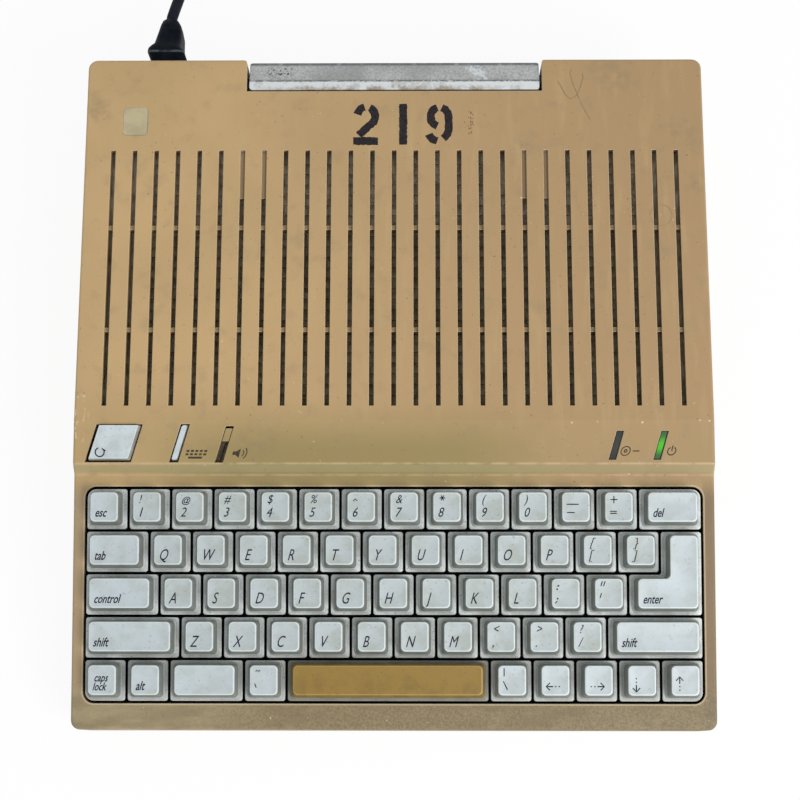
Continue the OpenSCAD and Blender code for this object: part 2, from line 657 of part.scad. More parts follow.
module handle_pins() color(steel_colour)
    mirrored_x() translate([handle_x - arm_w - 1.4, pivot_y, pivot_z]) rotate([0, 90, 0]) {
        cylinder(r = pin_r, h = arm_w + handle_gap + 1.4 + 4);
        cylinder(r = pin_r + 1.6, h = 1.2);
    }

// ---------------------------------------------------------------- keyboard
// Leaning body of a cap that is wider and deeper than a one-unit key by the given amounts. It starts inside
// the skirt, and its top edge is broken all round
module cap_body(wider, deeper) {
    foot = round_outline(cap_foot_w + wider, cap_foot_d + deeper, cap_foot_r);
    shoulder = round_outline(cap_top_w + wider, cap_top_d + deeper, cap_top_r);
    rim = round_outline(cap_top_w - cap_edge + wider, cap_top_d - cap_edge + deeper, cap_top_r - cap_edge / 2);
    hull_of(concat([for (p = foot) [p[0], p[1], skirt_rise - cap_root]],
        [for (p = shoulder) [p[0], p[1] + cap_lean, cap_top - cap_edge]],
        [for (p = rim) [p[0], p[1] + cap_lean, cap_top]]));
}
// A cap for a key of w units. Its top leans to the rear and is hollowed a little, its underside is open
module keycap(units, dish = true, corners = []) {
    extra = (units - 1) * key_pitch;
    difference() {
        union() {
            translate([0, 0, skirt_foot]) linear_extrude(skirt_h)
                skirt_outline(key_pitch + extra - key_gap, key_pitch - key_gap, corners);
            cap_body(extra, 0);
        }
        if (dish) key_dish(cap_top_w + extra - 1.6);
        cap_hollow(extra);
    }
    stem();
}
module skirt_outline(w, d, corners) {
    big_r = well_r - well_margin;
    difference() {
        rounded_rect(w, d, skirt_r);
        for (corner = corners) translate([corner[0] * (w / 2 - big_r), corner[1] * (d / 2 - big_r)]) difference() {
            translate([corner[0] * big_r, corner[1] * big_r]) square(2 * big_r, center = true);
            circle(big_r);
        }
    }
}
module key_dish(w) {
    r = w * w / (8 * dish_depth) + dish_depth / 2;
    translate([0, cap_lean, cap_top + r - dish_depth]) rotate([90, 0, 0])
        cylinder(r = r, h = cap_top_d - 1.6, center = true, $fn = 360);
}
module cap_hollow(extra) {
    lower_w = switch_body + 0.6;
    upper_w = switch_neck + 0.8;
    block([-(lower_w + extra) / 2, -lower_w / 2, skirt_foot - 1], [(lower_w + extra) / 2, lower_w / 2, skirt_rise + 0.6]);
    block([-(upper_w + extra) / 2, -upper_w / 2 + cap_lean / 2, skirt_rise],
        [(upper_w + extra) / 2, upper_w / 2 + cap_lean / 2, cap_top - cap_roof]);
}
module stem() translate([0, 0, cap_top - cap_roof - stem_len]) cylinder(r = stem_r, h = stem_len + 0.5, $fn = 24);

// The return key covers one unit of the upper row and its own width of the lower row
module return_key(units) {
    extra = (units - 1) * key_pitch;
    step = (units - return_upper_units) / 2 * key_pitch;
    difference() {
        union() {
            translate([0, 0, skirt_foot]) linear_extrude(skirt_h) {
                rounded_rect(key_pitch * units - key_gap, key_pitch - key_gap, skirt_r);
                translate([step, key_pitch / 2]) rounded_rect(key_pitch - key_gap, 2 * key_pitch - key_gap, skirt_r);
            }
            translate([-step / 2, 0, 0]) cap_body(extra - step, 0);
            translate([step, key_pitch / 2, 0]) cap_body(0, key_pitch);
        }
        cap_hollow(extra);
        translate([step, key_pitch, 0]) cap_hollow(0);
    }
    stem();
}
module key_node(name) color(name == "space_bar" ? space_colour : key_colour) on_keys()
    for (key = keys) if (key[0] == name) translate([key[1], key[2], 0]) {
        if (name == "return_key") return_key(key[3]);
        else keycap(key[3], name != "space_bar", [for (corner = corner_keys) if (corner[0] == name) corner[1]]);
    }

module keyboard_plate() color(steel_colour) on_keys() difference() {
    translate([0, 0, plate_level - plate_t]) linear_extrude(plate_t)
        rounded_rect(min(well_w + 2 * plate_margin, 2 * inner_x - 1), well_d + 2 * plate_margin, 2);
    for (key = keys) translate([key[1], key[2], plate_level - plate_t / 2])
        cube([switch_body + 0.3, switch_body + 0.3, 2 * plate_t], center = true);
}
// One housing under each key: body through the plate, flange on it, neck round the stem
module key_switches() color(black_colour) on_keys() for (key = keys) translate([key[1], key[2], 0]) difference() {
    union() {
        translate([0, 0, (switch_shoulder + key_board_level + seat_gap) / 2])
            cube([switch_body, switch_body, switch_shoulder - key_board_level - seat_gap], center = true);
        translate([0, 0, plate_level + seat_gap + 0.5]) cube([switch_body + 1.6, switch_body + 1.6, 1], center = true);
        translate([0, cap_lean / 2, (switch_shoulder + switch_top) / 2 - 0.5])
            cube([switch_neck, switch_neck, switch_top - switch_shoulder + 1], center = true);
    }
    translate([0, 0, key_board_level + 1.4]) cylinder(r = stem_r + fit_gap, h = 20, $fn = 24);
}
// Board under the keys, with the bodies of the strip's switches and of the two lamps. Each body has a
// pocket that guides the stem of the piece above it
module keyboard_board() color(board_colour) {
    board_rear = (crease_y - well_y) / cos(key_slope) - 4;
    on_keys() translate([-key_board_x, -well_d / 2, key_board_level - board_t])
        cube([2 * key_board_x, well_d / 2 + board_rear, board_t]);
    difference() {
        on_strip() {
            translate([switch_x, control_s, -rear_h]) linear_extrude(rear_h + body_level) slanted(6, control_len);
            translate([volume_x, volume_s, -rear_h]) linear_extrude(rear_h + body_level) slanted(6, volume_slot_len);
            translate([reset_x, reset_s, -rear_h]) linear_extrude(rear_h + body_level) slanted(12, 9);
            for (x = [disk_light_x, power_light_x]) translate([x, light_s, -rear_h])
                linear_extrude(rear_h - control_depth - seat_gap) slanted(light_w, light_len - 3);
        }
        on_keys() translate([-case_w, -case_d, key_board_level - board_t / 2 - case_d])
            cube([2 * case_w, 2 * case_d, case_d]);
        on_strip() translate([0, 0, body_level - pocket_depth]) linear_extrude(20) {
            translate([switch_x, control_s]) slanted(switch_stem_w + 2 * fit_gap, 5 + 2 * fit_gap);
            translate([volume_x, volume_s]) slanted(volume_stem_w + 2 * fit_gap, volume_slot_len - 1);
            translate([reset_x, reset_s]) circle(reset_stem_r + fit_gap);
        }
    }
}

// ---------------------------------------------------------------- controls on the strip
module reset_button() color(key_colour) on_strip() translate([reset_x, reset_s, 0]) {
    translate([0, 0, -control_depth + 2]) linear_extrude(control_depth - 2) slanted(reset_w, reset_d);
    // its sides slope in towards the top, most at the right and at the front
    hull_of(concat([for (p = slanted_points(reset_w, reset_d)) [p[0], p[1], -0.5]],
        [for (p = slanted_points(reset_w, reset_d)) [p[0], p[1], 0]],
        [for (p = slanted_points(reset_top[0], reset_top[1])) [p[0] + reset_top_shift[0], p[1] + reset_top_shift[1], reset_rise]]));
    translate([0, 0, body_level - stem_entry]) cylinder(r = reset_stem_r, h = stem_entry - body_level - 1);
}
module keyboard_switch() color(key_colour) on_strip() translate([switch_x, control_s, -control_depth]) {
    translate([switch_shift * tan(slant), switch_shift, 0]) linear_extrude(control_depth - 0.4)
        slanted(switch_w, control_len - 2 * switch_shift - 0.9);
    translate([0, 0, body_level - stem_entry + control_depth])
        linear_extrude(stem_entry - body_level - control_depth + 1) slanted(switch_stem_w, 5);
}
module volume_slider() color(case_colour) on_strip() {
    middle = volume_s + (volume_slot_len - volume_len) / 2 - 1;
    translate([volume_x + (middle - volume_s) * tan(slant), middle, -control_depth]) {
        linear_extrude(control_depth - 0.5) slanted(volume_w, volume_len);
        translate([0, 0, body_level - stem_entry + control_depth])
            linear_extrude(stem_entry - body_level - control_depth + 1) slanted(volume_stem_w, 3);
    }
}
module light_window(x) on_strip() translate([x, light_s, -control_depth]) linear_extrude(control_depth - 0.15)
    slanted(light_w, light_len);
module disk_light() color([0.25, 0.26, 0.25]) light_window(disk_light_x);
module power_light() color([0.35, 0.75, 0.2]) light_window(power_light_x);

// ---------------------------------------------------------------- boards, drive, supply, speaker
module main_board_plan() {
    translate([-board_x, board_front]) square([2 * board_x, crease_y - 3 - board_front]);
    translate([supply_x[1] + 6, crease_y - 4]) square([drive_rear_x - 4 - supply_x[1] - 6, main_board_rear - crease_y + 4]);
    translate([supply_x[1] + 6, drive_rear_y + 4]) square([board_x - supply_x[1] - 6, main_board_rear - drive_rear_y - 4]);
    translate([rear_boss_x + boss_r + 2.5, drive_rear_y + 4])
        square([inner_x - 1 - rear_boss_x - boss_r - 2.5, inner_rear_y - 0.5 - drive_rear_y - 4]);
}
module main_board() color(board_colour) translate([0, 0, board_z]) linear_extrude(board_t) main_board_plan();
// Two rows of small chips in front of the drive, and three columns of long ones between it and the supply
small_chip = [14, 7.6];
long_chip = [8, 20];
chip_h = 3.6;
chip_step = 22;
column_step = 18;
chips_each_way = floor((board_x - 15) / chip_step);
chip_places = [for (i = [-chips_each_way : chips_each_way], row = [31, 58]) [i * chip_step, crease_y - row, small_chip],
    for (i = [0 : 2], j = [0 : 3])
        [supply_x[1] + chip_step + i * column_step, crease_y + 27 + j * (long_chip[1] + 6), long_chip]];
module board_chips() color(black_colour) for (chip = chip_places)
    translate([chip[0], chip[1], board_top + seat_gap + chip_h / 2]) cube([chip[2][0], chip[2][1], chip_h], center = true);

module power_supply() color(steel_colour) difference() {
    block([supply_x[0], supply_y[0], supply_z[0]], [supply_x[1], supply_y[1], supply_z[1]]);
    for (y = [supply_y[0] + 8 : 6 : supply_y[1] - 8]) translate([supply_x[1] - 14, y, supply_z[1] - 1])
        cube([24, 2.5, 4], center = true);
}
module disk_drive() color(steel_colour) {
    difference() {
        block([drive_rear_x, drive_front_y, drive_z], [drive_x, drive_rear_y, drive_z + drive_h]);
        block([drive_x - 96, drive_y - disk_slot_w / 2, disk_slot_z - disk_slot_h / 2],
            [drive_x + 1, drive_y + disk_slot_w / 2, disk_slot_z + disk_slot_h / 2]);
        block([drive_x - 12, eject_y - eject_w / 2 - fit_gap, eject_z - eject_h / 2 - fit_gap],
            [drive_x + 1, eject_y + eject_w / 2 + fit_gap, eject_z + eject_h / 2 + fit_gap]);
    }
}
eject_travel = 5;
module eject_button() color(case_colour) translate([drive_x - 12 + eject_travel + 0.3, eject_y, eject_z]) along_x()
    linear_extrude(case_w / 2 - 0.2 - (drive_x - 12 + eject_travel + 0.3)) rounded_rect(eject_w, eject_h, 1.4);

module speaker() color(black_colour) translate([speaker_x, speaker_y, speaker_z]) rotate_extrude()
    polygon([[0, 0.6], [speaker_r - 2 * speaker_rim, 0.6], [speaker_r - speaker_rim, 0], [speaker_r, 0],
        [speaker_r, 1.4], [speaker_r - speaker_rim, 1.6], [magnet_r, speaker_h - 5], [magnet_r, speaker_h],
        [0, speaker_h]]);

// ---------------------------------------------------------------- rear connectors
// Each port: middle in X, Y of the wall's outer face, shape: 0 is a round socket, 1 a small coaxial jack,
// and any other number is the length of a D-shaped shell
notch_ports = [[-46, notch_y, 0], [-15, notch_y, 25], [30, notch_y, 33]];
rear_ports = [[case_w / 2 - 54, rear_y, 0], [case_w / 2 - 29.5, rear_y, 17], [case_w / 2 - 9.5, rear_y, 1]];
all_ports = concat(notch_ports, rear_ports);
module port_outline(kind, grow) {
    if (kind == 0) circle(4.7 + grow);
    else if (kind == 1) circle(4.1 + grow);
    else polygon([[-kind / 2 - grow, 4.1 + grow], [kind / 2 + grow, 4.1 + grow],
        [kind / 2 - 1.5 + grow, -4.1 - grow], [-kind / 2 + 1.5 - grow, -4.1 - grow]]);
}
// Shell through the wall and a body behind it, down to the board. The shell stands out of the notch only
module port(p) {
    stand_out = p[1] < rear_y - 1 ? 3 : -0.1;
    body_w = p[2] == 0 ? 14 : p[2] == 1 ? 8.4 : p[2] + 14;
    translate([p[0], p[1], port_z]) rotate([90, 0, 0]) translate([0, 0, -stand_out])
        linear_extrude(stand_out + wall + 1) port_outline(p[2], 0);
    block([p[0] - body_w / 2, p[1] - wall - port_depth, board_top + seat_gap],
        [p[0] + body_w / 2, p[1] - wall - seat_gap, port_z + 6.4]);
}
module pin_holes(p, across, rows) {
    for (r = [0 : rows - 1], i = [0 : across - 1]) translate([p[0] + (i - (across - 1) / 2) * 2.76 - (r - 0.5) * 1.38,
        p[1] + 5, port_z + (0.5 - r) * 2.84]) rotate([90, 0, 0]) cylinder(r = 0.6, h = 12, $fn = 16);
}
module data_ports() color(steel_colour) for (p = all_ports) if (p[2] > 1) difference() {
    port(p);
    pin_holes(p, floor(p[2] / 3.1), 2);
}
module serial_ports() color(black_colour) for (p = all_ports) if (p[2] == 0) difference() {
    port(p);
    for (a = [-60 : 60 : 240]) translate([p[0] + 2.9 * sin(a), p[1] + 5, port_z + 2.9 * cos(a)])
        rotate([90, 0, 0]) cylinder(r = 0.5, h = 12, $fn = 16);
}
module monitor_jack() color("goldenrod") for (p = all_ports) if (p[2] == 1) difference() {
    port(p);
    translate([p[0], p[1] + 5, port_z]) rotate([90, 0, 0]) cylinder(r = 1.6, h = 12);
}

// Mains inlet and the frame of the rocker switch in one moulding
rocker_pivot_y = rear_y - 5;
module power_inlet() color(black_colour) {
    low = [rocker_x - rocker_w / 2 - 1.8, supply_y[1] + seat_gap, inlet_z - inlet_h / 2];
    high = [inlet_x + inlet_w / 2, rear_y - 0.3, inlet_z + inlet_h / 2];
    difference() {
        block(low, high);
        translate([inlet_x, rear_y - 16, inlet_z]) rotate([-90, 0, 0]) linear_extrude(30)
            rounded_rect(connector_nose_w + 2 * fit_gap, connector_nose_h + 2 * fit_gap, 2);
        block([rocker_x - rocker_w / 2 - fit_gap, rocker_pivot_y - rocker_back - 2.4, inlet_z - rocker_h / 2 - 0.9],
            [rocker_x + rocker_w / 2 + fit_gap, rear_y + 1, inlet_z + rocker_h / 2 + 0.9]);
        translate([rocker_x - rocker_w / 2 - 1, rocker_pivot_y, inlet_z]) rotate([0, 90, 0])
            cylinder(r = 1.2 + pin_play, h = rocker_w + 2);
    }
    // contact blades, which the connector's nose closes over
    for (blade = [[-3.5, 2], [3.5, 2], [0, -4]]) translate([inlet_x + blade[0], rear_y - 16, inlet_z + blade[1]])
        cube([1.6, 6, 3.6], center = true);
}
// Rocker shown with its upper end pressed in
module power_switch() color(black_colour) translate([rocker_x, rocker_pivot_y, inlet_z]) rotate([rocker_tilt, 0, 0]) {
    translate([-rocker_w / 2, 0, 0]) along_x() linear_extrude(rocker_w) polygon([[3, rocker_h / 2], [1.8, 0],
        [3, -rocker_h / 2], [-0.6, -rocker_h / 2], [-rocker_back, -2.6], [-rocker_back, 2.6], [-0.6, rocker_h / 2]]);
    translate([-rocker_w / 2 - 0.9, 0, 0]) rotate([0, 90, 0]) cylinder(r = 1.2, h = rocker_w + 1.8);
}

// ---------------------------------------------------------------- mains lead
connector_nose_w = 16;
connector_nose_h = 24;
connector_w = 18.2;
connector_h = 26;
connector_len = 14.2;
connector_gap = 0.6;
boot_r = 7.4;
boot_start = rear_y + 25;
boot_end_r = cord_r + 1.1;
relief_end = cord_route[0];
// Rings of the strain relief, cut in from the right and from the left by turns
relief_cuts = [[3, 1], [6, -1], [9, 1]];
relief_cut_w = 1.1;
relief_core = cord_r + 0.5;
module cord_connector() color(black_colour) {
    difference() {
        translate([inlet_x, rear_y - 12.5, inlet_z]) rotate([-90, 0, 0]) linear_extrude(14)
            rounded_rect(connector_nose_w, connector_nose_h, 1.8);
        for (blade = [[-3.5, 2], [3.5, 2], [0, -4]])
            translate([inlet_x + blade[0], rear_y - 16, inlet_z + blade[1]]) cube([2.2, 10, 4.2], center = true);
    }
    hull() {
        translate([inlet_x, rear_y + connector_gap, inlet_z]) rotate([-90, 0, 0]) linear_extrude(connector_len)
            rounded_rect(connector_w, connector_h, 4.5, $fn = 24);
        translate([inlet_x, boot_start, inlet_z]) rotate([-90, 0, 0]) cylinder(r = boot_r, h = 0.5, $fn = 24);
    }
    difference() {
        hull() {
            translate([inlet_x, boot_start - 1, inlet_z]) rotate([-90, 0, 0]) cylinder(r = boot_r, h = 1.5, $fn = 24);
            translate([relief_end[0], relief_end[1] - 1, relief_end[2]]) rotate([-90, 0, 0])
                cylinder(r = boot_end_r, h = 1, $fn = 24);
        }
        for (cut = relief_cuts) translate([(inlet_x + relief_end[0]) / 2 + cut[1] * (relief_core + boot_r), boot_start + cut[0], inlet_z])
            cube([2 * boot_r, relief_cut_w, 2 * relief_core + 2], center = true);
    }
}
// Tube swept along a route, with flat ends
function unit(v) = v / norm(v);
function sweep_ring(route, i, sides) =
    let (ahead = route[min(i + 1, len(route) - 1)], back = route[max(i - 1, 0)], t = unit(ahead - back),
        across = unit(cross(t, [0, 0, 1])), up = cross(across, t))
        [for (k = [0 : sides - 1]) route[i] + cord_r * (cos(k * 360 / sides) * across + sin(k * 360 / sides) * up)];
module swept_cord(route, sides = 10) {
    points = [for (i = [0 : len(route) - 1]) each sweep_ring(route, i, sides)];
    last = (len(route) - 1) * sides;
    polyhedron(points, concat([[for (k = [0 : sides - 1]) k]],
        [for (i = [0 : len(route) - 2], k = [0 : sides - 1]) let (a = i * sides, n = (k + 1) % sides)
            [a + k, a + sides + k, a + sides + n, a + n]],
        [[for (k = [sides - 1 : -1 : 0]) last + k]]));
}
module mains_cord() color(black_colour) {
    swept_cord(cord_route);
    swept_cord(tail_route);
}
module cord_coil() color(black_colour) translate([coil_x, coil_y, 0])
    rotate_extrude() translate([coil_inner_r, 0]) square([coil_turns * cord_dia, coil_layers * cord_dia]);
// Three-pin plug that lies beside the coil, pins towards the front
module cord_plug() color(black_colour) translate([tail_x, plug_y, plug_z]) rotate([90, 0, 0]) {
    cylinder(r1 = cord_r + 0.9, r2 = 5, h = 14);
    translate([0, 0, 13]) linear_extrude(21) rounded_rect(24, 19, 5);
    for (pin = [[-6.3, 2], [6.3, 2]]) translate([pin[0] - 0.75, pin[1] - 3.1, 33.5]) cube([1.5, 6.3, 14]);
    translate([0, -5.5, 33.5]) cylinder(r = 2.3, h = 16);
}

upper_case();
lower_case();
handle();
handle_pins();
rubber_feet();
case_screws();
vent_shield();
keyboard_plate();
key_switches();
keyboard_board();
main_board();
board_chips();
power_supply();
disk_drive();
eject_button();
reset_button();
keyboard_switch();
volume_slider();
disk_light();
power_light();
power_inlet();
power_switch();
serial_ports();
data_ports();
monitor_jack();
speaker();
blank_badge();
cord_connector();
mains_cord();
cord_coil();
cord_plug();
for (name = KEY_NODES) key_node(name);
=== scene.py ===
"""Looks of the vintage home computer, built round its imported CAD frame. Metres, same frame as the CAD."""

import math
import random

import bmesh
import bpy
from mathutils import Matrix, Vector
from mathutils.bvhtree import BVHTree


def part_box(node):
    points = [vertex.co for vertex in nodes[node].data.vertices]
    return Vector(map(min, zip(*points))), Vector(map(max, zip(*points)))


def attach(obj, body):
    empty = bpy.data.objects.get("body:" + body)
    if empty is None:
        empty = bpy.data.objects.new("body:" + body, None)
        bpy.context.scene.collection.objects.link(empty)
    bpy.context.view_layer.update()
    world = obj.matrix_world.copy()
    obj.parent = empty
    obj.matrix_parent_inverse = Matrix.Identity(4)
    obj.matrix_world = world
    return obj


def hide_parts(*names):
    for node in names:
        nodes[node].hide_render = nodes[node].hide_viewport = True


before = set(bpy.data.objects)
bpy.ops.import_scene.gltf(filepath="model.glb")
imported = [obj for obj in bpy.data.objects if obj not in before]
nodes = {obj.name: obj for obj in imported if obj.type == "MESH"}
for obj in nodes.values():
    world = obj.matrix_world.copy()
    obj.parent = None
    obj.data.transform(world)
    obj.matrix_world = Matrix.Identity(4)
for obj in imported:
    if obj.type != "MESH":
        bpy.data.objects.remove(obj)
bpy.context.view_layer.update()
scene = bpy.context.scene
scene.view_settings.view_transform = "Standard"
MM = 0.001


def add_object(name, data):
    made = bpy.data.objects.new(name, data)
    scene.collection.objects.link(made)
    return made


# ---- camera
camera = add_object("camera", bpy.data.cameras.new("camera"))
camera.location = (0.0083, -0.16255, 0.6884)
camera.rotation_euler = [math.radians(angle) for angle in (13.596, 0.465, 0.097)]
camera.data.lens = 65.25
camera.data.sensor_width = 36
scene.camera = camera

# ---- sizes shared with the CAD, mm
REAR_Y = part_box("upper_case")[1].y / MM
FRONT_Y = -REAR_Y
CASE_HALF_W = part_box("upper_case")[1].x / MM
REAR_H = 63.1
DECK_SLOPE, STRIP_SLOPE, KEY_SLOPE = (math.radians(angle) for angle in (3.2, 8, 10))
DECK_LEN, STRIP_LEN, RAMP_LEN, RAMP_DROP = 171.8, 19.4, 4, 3.8
CREASE_Y = REAR_Y - DECK_LEN
CREASE_Z = REAR_H - DECK_LEN * math.tan(DECK_SLOPE)
RAMP_TOP_Y = CREASE_Y - STRIP_LEN
RAMP_TOP_Z = CREASE_Z - STRIP_LEN * math.tan(STRIP_SLOPE)
RAMP_FOOT_Y = RAMP_TOP_Y - RAMP_LEN
RAMP_FOOT_Z = RAMP_TOP_Z - RAMP_DROP
KEY_PITCH, KEY_GAP, ROW_UNITS, ROW_COUNT = 19.05, 0.8, 14.5, 5
WELL_MARGIN, WELL_R = 1, 5
WELL_W = ROW_UNITS * KEY_PITCH - KEY_GAP + 2 * WELL_MARGIN
WELL_D = ROW_COUNT * KEY_PITCH - KEY_GAP + 2 * WELL_MARGIN
FRONT_BEZEL = 11.4
WELL_Y = FRONT_Y + FRONT_BEZEL + WELL_D / 2 * math.cos(KEY_SLOPE)
WELL_Z = RAMP_FOOT_Z - (RAMP_FOOT_Y - WELL_Y) * math.tan(KEY_SLOPE)


def sloped(y, z, slope):
    """Frame of a sloping surface, for points in mm."""
    return Matrix.Scale(MM, 4) @ Matrix.Translation((0, y, z)) @ Matrix.Rotation(slope, 4, "X")


DECK = sloped(CREASE_Y, CREASE_Z, DECK_SLOPE)
STRIP = sloped(CREASE_Y, CREASE_Z, STRIP_SLOPE)
KEYS = sloped(WELL_Y, WELL_Z, KEY_SLOPE)

# ---- mains lead
CORD_D = 5.5
CORD_ROUTE = [(-111.5, 191.5, 30), (-111.5, 192.5, 30), (-110.8, 195.5, 29.9), (-109.6, 200.5, 29.2),
    (-108.3, 207, 27.3), (-107.2, 215, 23.8), (-106.3, 224, 18.9), (-105.5, 233, 13.6), (-104.9, 242, 9),
    (-104.4, 251, 5.6), (-104.1, 260, 3.6), (-104, 270, 2.8), (-104, 285, 2.8)]
COIL_MID_R = 33
COIL_TURNS = 4
COIL_OUT_R = COIL_MID_R + (COIL_TURNS - 1) * CORD_D / 2
COIL_X = CORD_ROUTE[-1][0] + COIL_OUT_R
COIL_Y = 300
COIL_END = 7.5
STEPS_PER_TURN = 24
TAIL_X = COIL_X + COIL_OUT_R
PLUG_Y, PLUG_Z = COIL_Y - 29, 10
TAIL_ROUTE = [(TAIL_X, COIL_Y - 7, 8.3), (TAIL_X, COIL_Y - 14, 8.7), (TAIL_X, COIL_Y - 20, 9.5),
    (TAIL_X, COIL_Y - 25, PLUG_Z), (TAIL_X, PLUG_Y, PLUG_Z)]
INWARD_SHIFTS = [0.8, 1.8, 2.8]
CLIMB = 3.6
OUTWARD_SHIFTS = [4.5, 5.5, 6.5]
SHIFT_SPAN = 0.2


def smooth(value):
    value = max(0, min(1, value))
    return value * value * (3 - 2 * value)


def wound(turn):
    """Point of the coil after this many turns: inwards on the floor, up, and outwards on top."""
    inward = sum(smooth((turn - start) / SHIFT_SPAN) for start in INWARD_SHIFTS)
    outward = sum(smooth((turn - start) / SHIFT_SPAN) for start in OUTWARD_SHIFTS)
    layer = smooth((turn - CLIMB) / SHIFT_SPAN)
    radius = COIL_OUT_R - CORD_D * (inward - outward)
    angle = math.pi - turn * math.tau
    return (COIL_X + radius * math.cos(angle), COIL_Y + radius * math.sin(angle), CORD_D * (0.5 + layer))


def cord_points():
    coil = [wound(step / STEPS_PER_TURN) for step in range(int(COIL_END * STEPS_PER_TURN) + 1)]
    return CORD_ROUTE + coil + TAIL_ROUTE


def make_curve(name, points, diameter):
    """Round tube along points in mm.

    The points carry its radius, because Blender pads the tube's box by the radius of its points.
    """
    curve = bpy.data.curves.new(name, "CURVE")
    curve.dimensions = "3D"
    curve.bevel_depth = 1
    curve.bevel_resolution = 5
    curve.resolution_u = 4
    spline = curve.splines.new("BEZIER")
    spline.bezier_points.add(len(points) - 1)
    for bezier, point in zip(spline.bezier_points, points):
        bezier.co = Vector(point) * MM
        bezier.radius = diameter / 2 * MM
        bezier.handle_left_type = bezier.handle_right_type = "AUTO"
    return add_object(name, curve)


lead = make_curve("mains_lead", cord_points(), CORD_D)
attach(lead, "case")
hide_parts("mains_cord", "cord_coil")

# ---- materials


class Paint:
    """A material whose colour, roughness and normal are built up by small calls. Masks run from 0 to 1."""

    def __init__(self, name, roughness=0.5, metallic=0.0):
        self.material = bpy.data.materials.new(name)
        self.material.use_nodes = True
        self.tree = self.material.node_tree
        self.tree.nodes.clear()
        self.shader = self.node("BsdfPrincipled")
        self.surface = self.node("OutputMaterial").inputs[0]
        self.plug(self.surface, self.shader.outputs[0])
        self.place = self.node("TexCoord").outputs["Object"]
        self.shader.inputs["Roughness"].default_value = roughness
        self.shader.inputs["Metallic"].default_value = metallic
        self.normal = None

    def node(self, kind):
        return self.tree.nodes.new("ShaderNode" + kind)

    def plug(self, socket, value):
        """Gives an input another node's output, a colour, a vector or a number."""
        if isinstance(value, bpy.types.NodeSocket):
            self.tree.links.new(value, socket)
        elif hasattr(value, "__len__") and len(value) == 3 and len(socket.default_value) == 4:
            socket.default_value = (*value, 1)
        else:
            socket.default_value = value

    def math(self, operation, a, b=0.0):
        node = self.node("Math")
        node.operation = operation
        node.use_clamp = operation != "SUBTRACT"
        self.plug(node.inputs[0], a)
        self.plug(node.inputs[1], b)
        return node.outputs[0]

    def times(self, a, b):
        return self.math("MULTIPLY", a, b)

    def vector(self, operation, a, b=None):
        node = self.node("VectorMath")
        node.operation = operation
        self.plug(node.inputs[0], a)
        if b is not None:
            self.plug(node.inputs[1], b)
        return node.outputs["Value" if operation in ("LENGTH", "DOT_PRODUCT") else "Vector"]

    def span(self, value, low, high, out_low=0.0, out_high=1.0):
        """The value spread smoothly from out_low at low to out_high at high."""
        node = self.node("MapRange")
        node.interpolation_type = "SMOOTHSTEP"
        for socket, number in zip(list(node.inputs)[:5], (value, low, high, out_low, out_high)):
            self.plug(socket, number)
        return node.outputs[0]

    def noise(self, size, detail=3, low=0.35, high=0.65, stretch=(1, 1, 1)):
        """Noise with features of size millimetres, spread from 0 at low to 1 at high."""
        mapping = self.node("Mapping")
        self.plug(mapping.inputs["Scale"], stretch)
        self.plug(mapping.inputs["Vector"], self.place)
        texture = self.node("TexNoise")
        self.plug(texture.inputs["Scale"], 1 / (size * MM))
        self.plug(texture.inputs["Detail"], detail)
        self.plug(texture.inputs["Vector"], mapping.outputs[0])
        return self.span(texture.outputs["Fac"], low, high)

    def along(self, axis, low, high):
        """0 at low and 1 at high, in mm along X, Y or Z."""
        split = self.node("SeparateXYZ")
        self.plug(split.inputs[0], self.place)
        return self.span(split.outputs[axis], low * MM, high * MM)

    def band(self, axis, low, high, blur=0.3):
        """1 between low and high, in mm along X, Y or Z."""
        rise = self.along(axis, low - blur, low + blur)
        return self.times(rise, self.along(axis, high + blur, high - blur))

    def beyond(self, centre, half=(0, 0), radius=0):
        """Distance in metres from an upright prism, its plan a rectangle with round corners, in mm."""
        inner = ((half[0] - radius) * MM, (half[1] - radius) * MM, 0)
        value = self.place
        middle = (centre[0] * MM, centre[1] * MM, 0)
        for operation, operand in (("SUBTRACT", middle), ("MULTIPLY", (1, 1, 0)), ("ABSOLUTE", None),
                ("SUBTRACT", inner), ("MAXIMUM", (0, 0, 0)), ("LENGTH", None)):
            value = self.vector(operation, value, operand)
        return self.math("SUBTRACT", value, radius * MM)

    def across(self, origin, direction):
        """Signed distance in metres from a point in mm, along a direction. Two values mean the plan."""
        offset = self.vector("SUBTRACT", self.place, Vector(origin).to_3d() * MM)
        return self.vector("DOT_PRODUCT", offset, Vector(direction).to_3d())

    def near(self, value, middle, reach):
        """1 where value, in metres, is middle and 0 from reach on, both in mm."""
        off = self.math("ABSOLUTE", self.math("SUBTRACT", value, middle * MM))
        return self.span(off, reach * MM, reach * MM * 0.4)

    def corner_shade(self, distance, low=0.35, high=0.95):
        """Painted shade from ambient occlusion: 1 deep in corners, 0 on open surfaces."""
        node = self.node("AmbientOcclusion")
        node.samples = 6
        self.plug(node.inputs["Distance"], distance * MM)
        return self.span(node.outputs["AO"], high, low)

    def bevel(self, radius):
        node = self.node("Bevel")
        node.samples = 6
        self.plug(node.inputs["Radius"], radius * MM)
        return node

    def edges(self, reach):
        """1 along sharp edges, to about reach millimetres from them."""
        flat = self.node("NewGeometry").outputs["True Normal"]
        return self.span(self.vector("DOT_PRODUCT", self.bevel(reach).outputs[0], flat), 0.995, 0.93)

    def mix(self, factor, a, b, blend="MIX"):
        node = self.node("Mix")
        node.data_type = "RGBA"
        node.blend_type = blend
        for index, value in ((0, factor), (6, a), (7, b)):
            self.plug(node.inputs[index], value)
        return node.outputs[2]

    def coat(self, tone, mask, share, colour):
        """The tone with that share of a colour where the mask is 1."""
        return self.mix(self.times(mask, share), tone, colour)

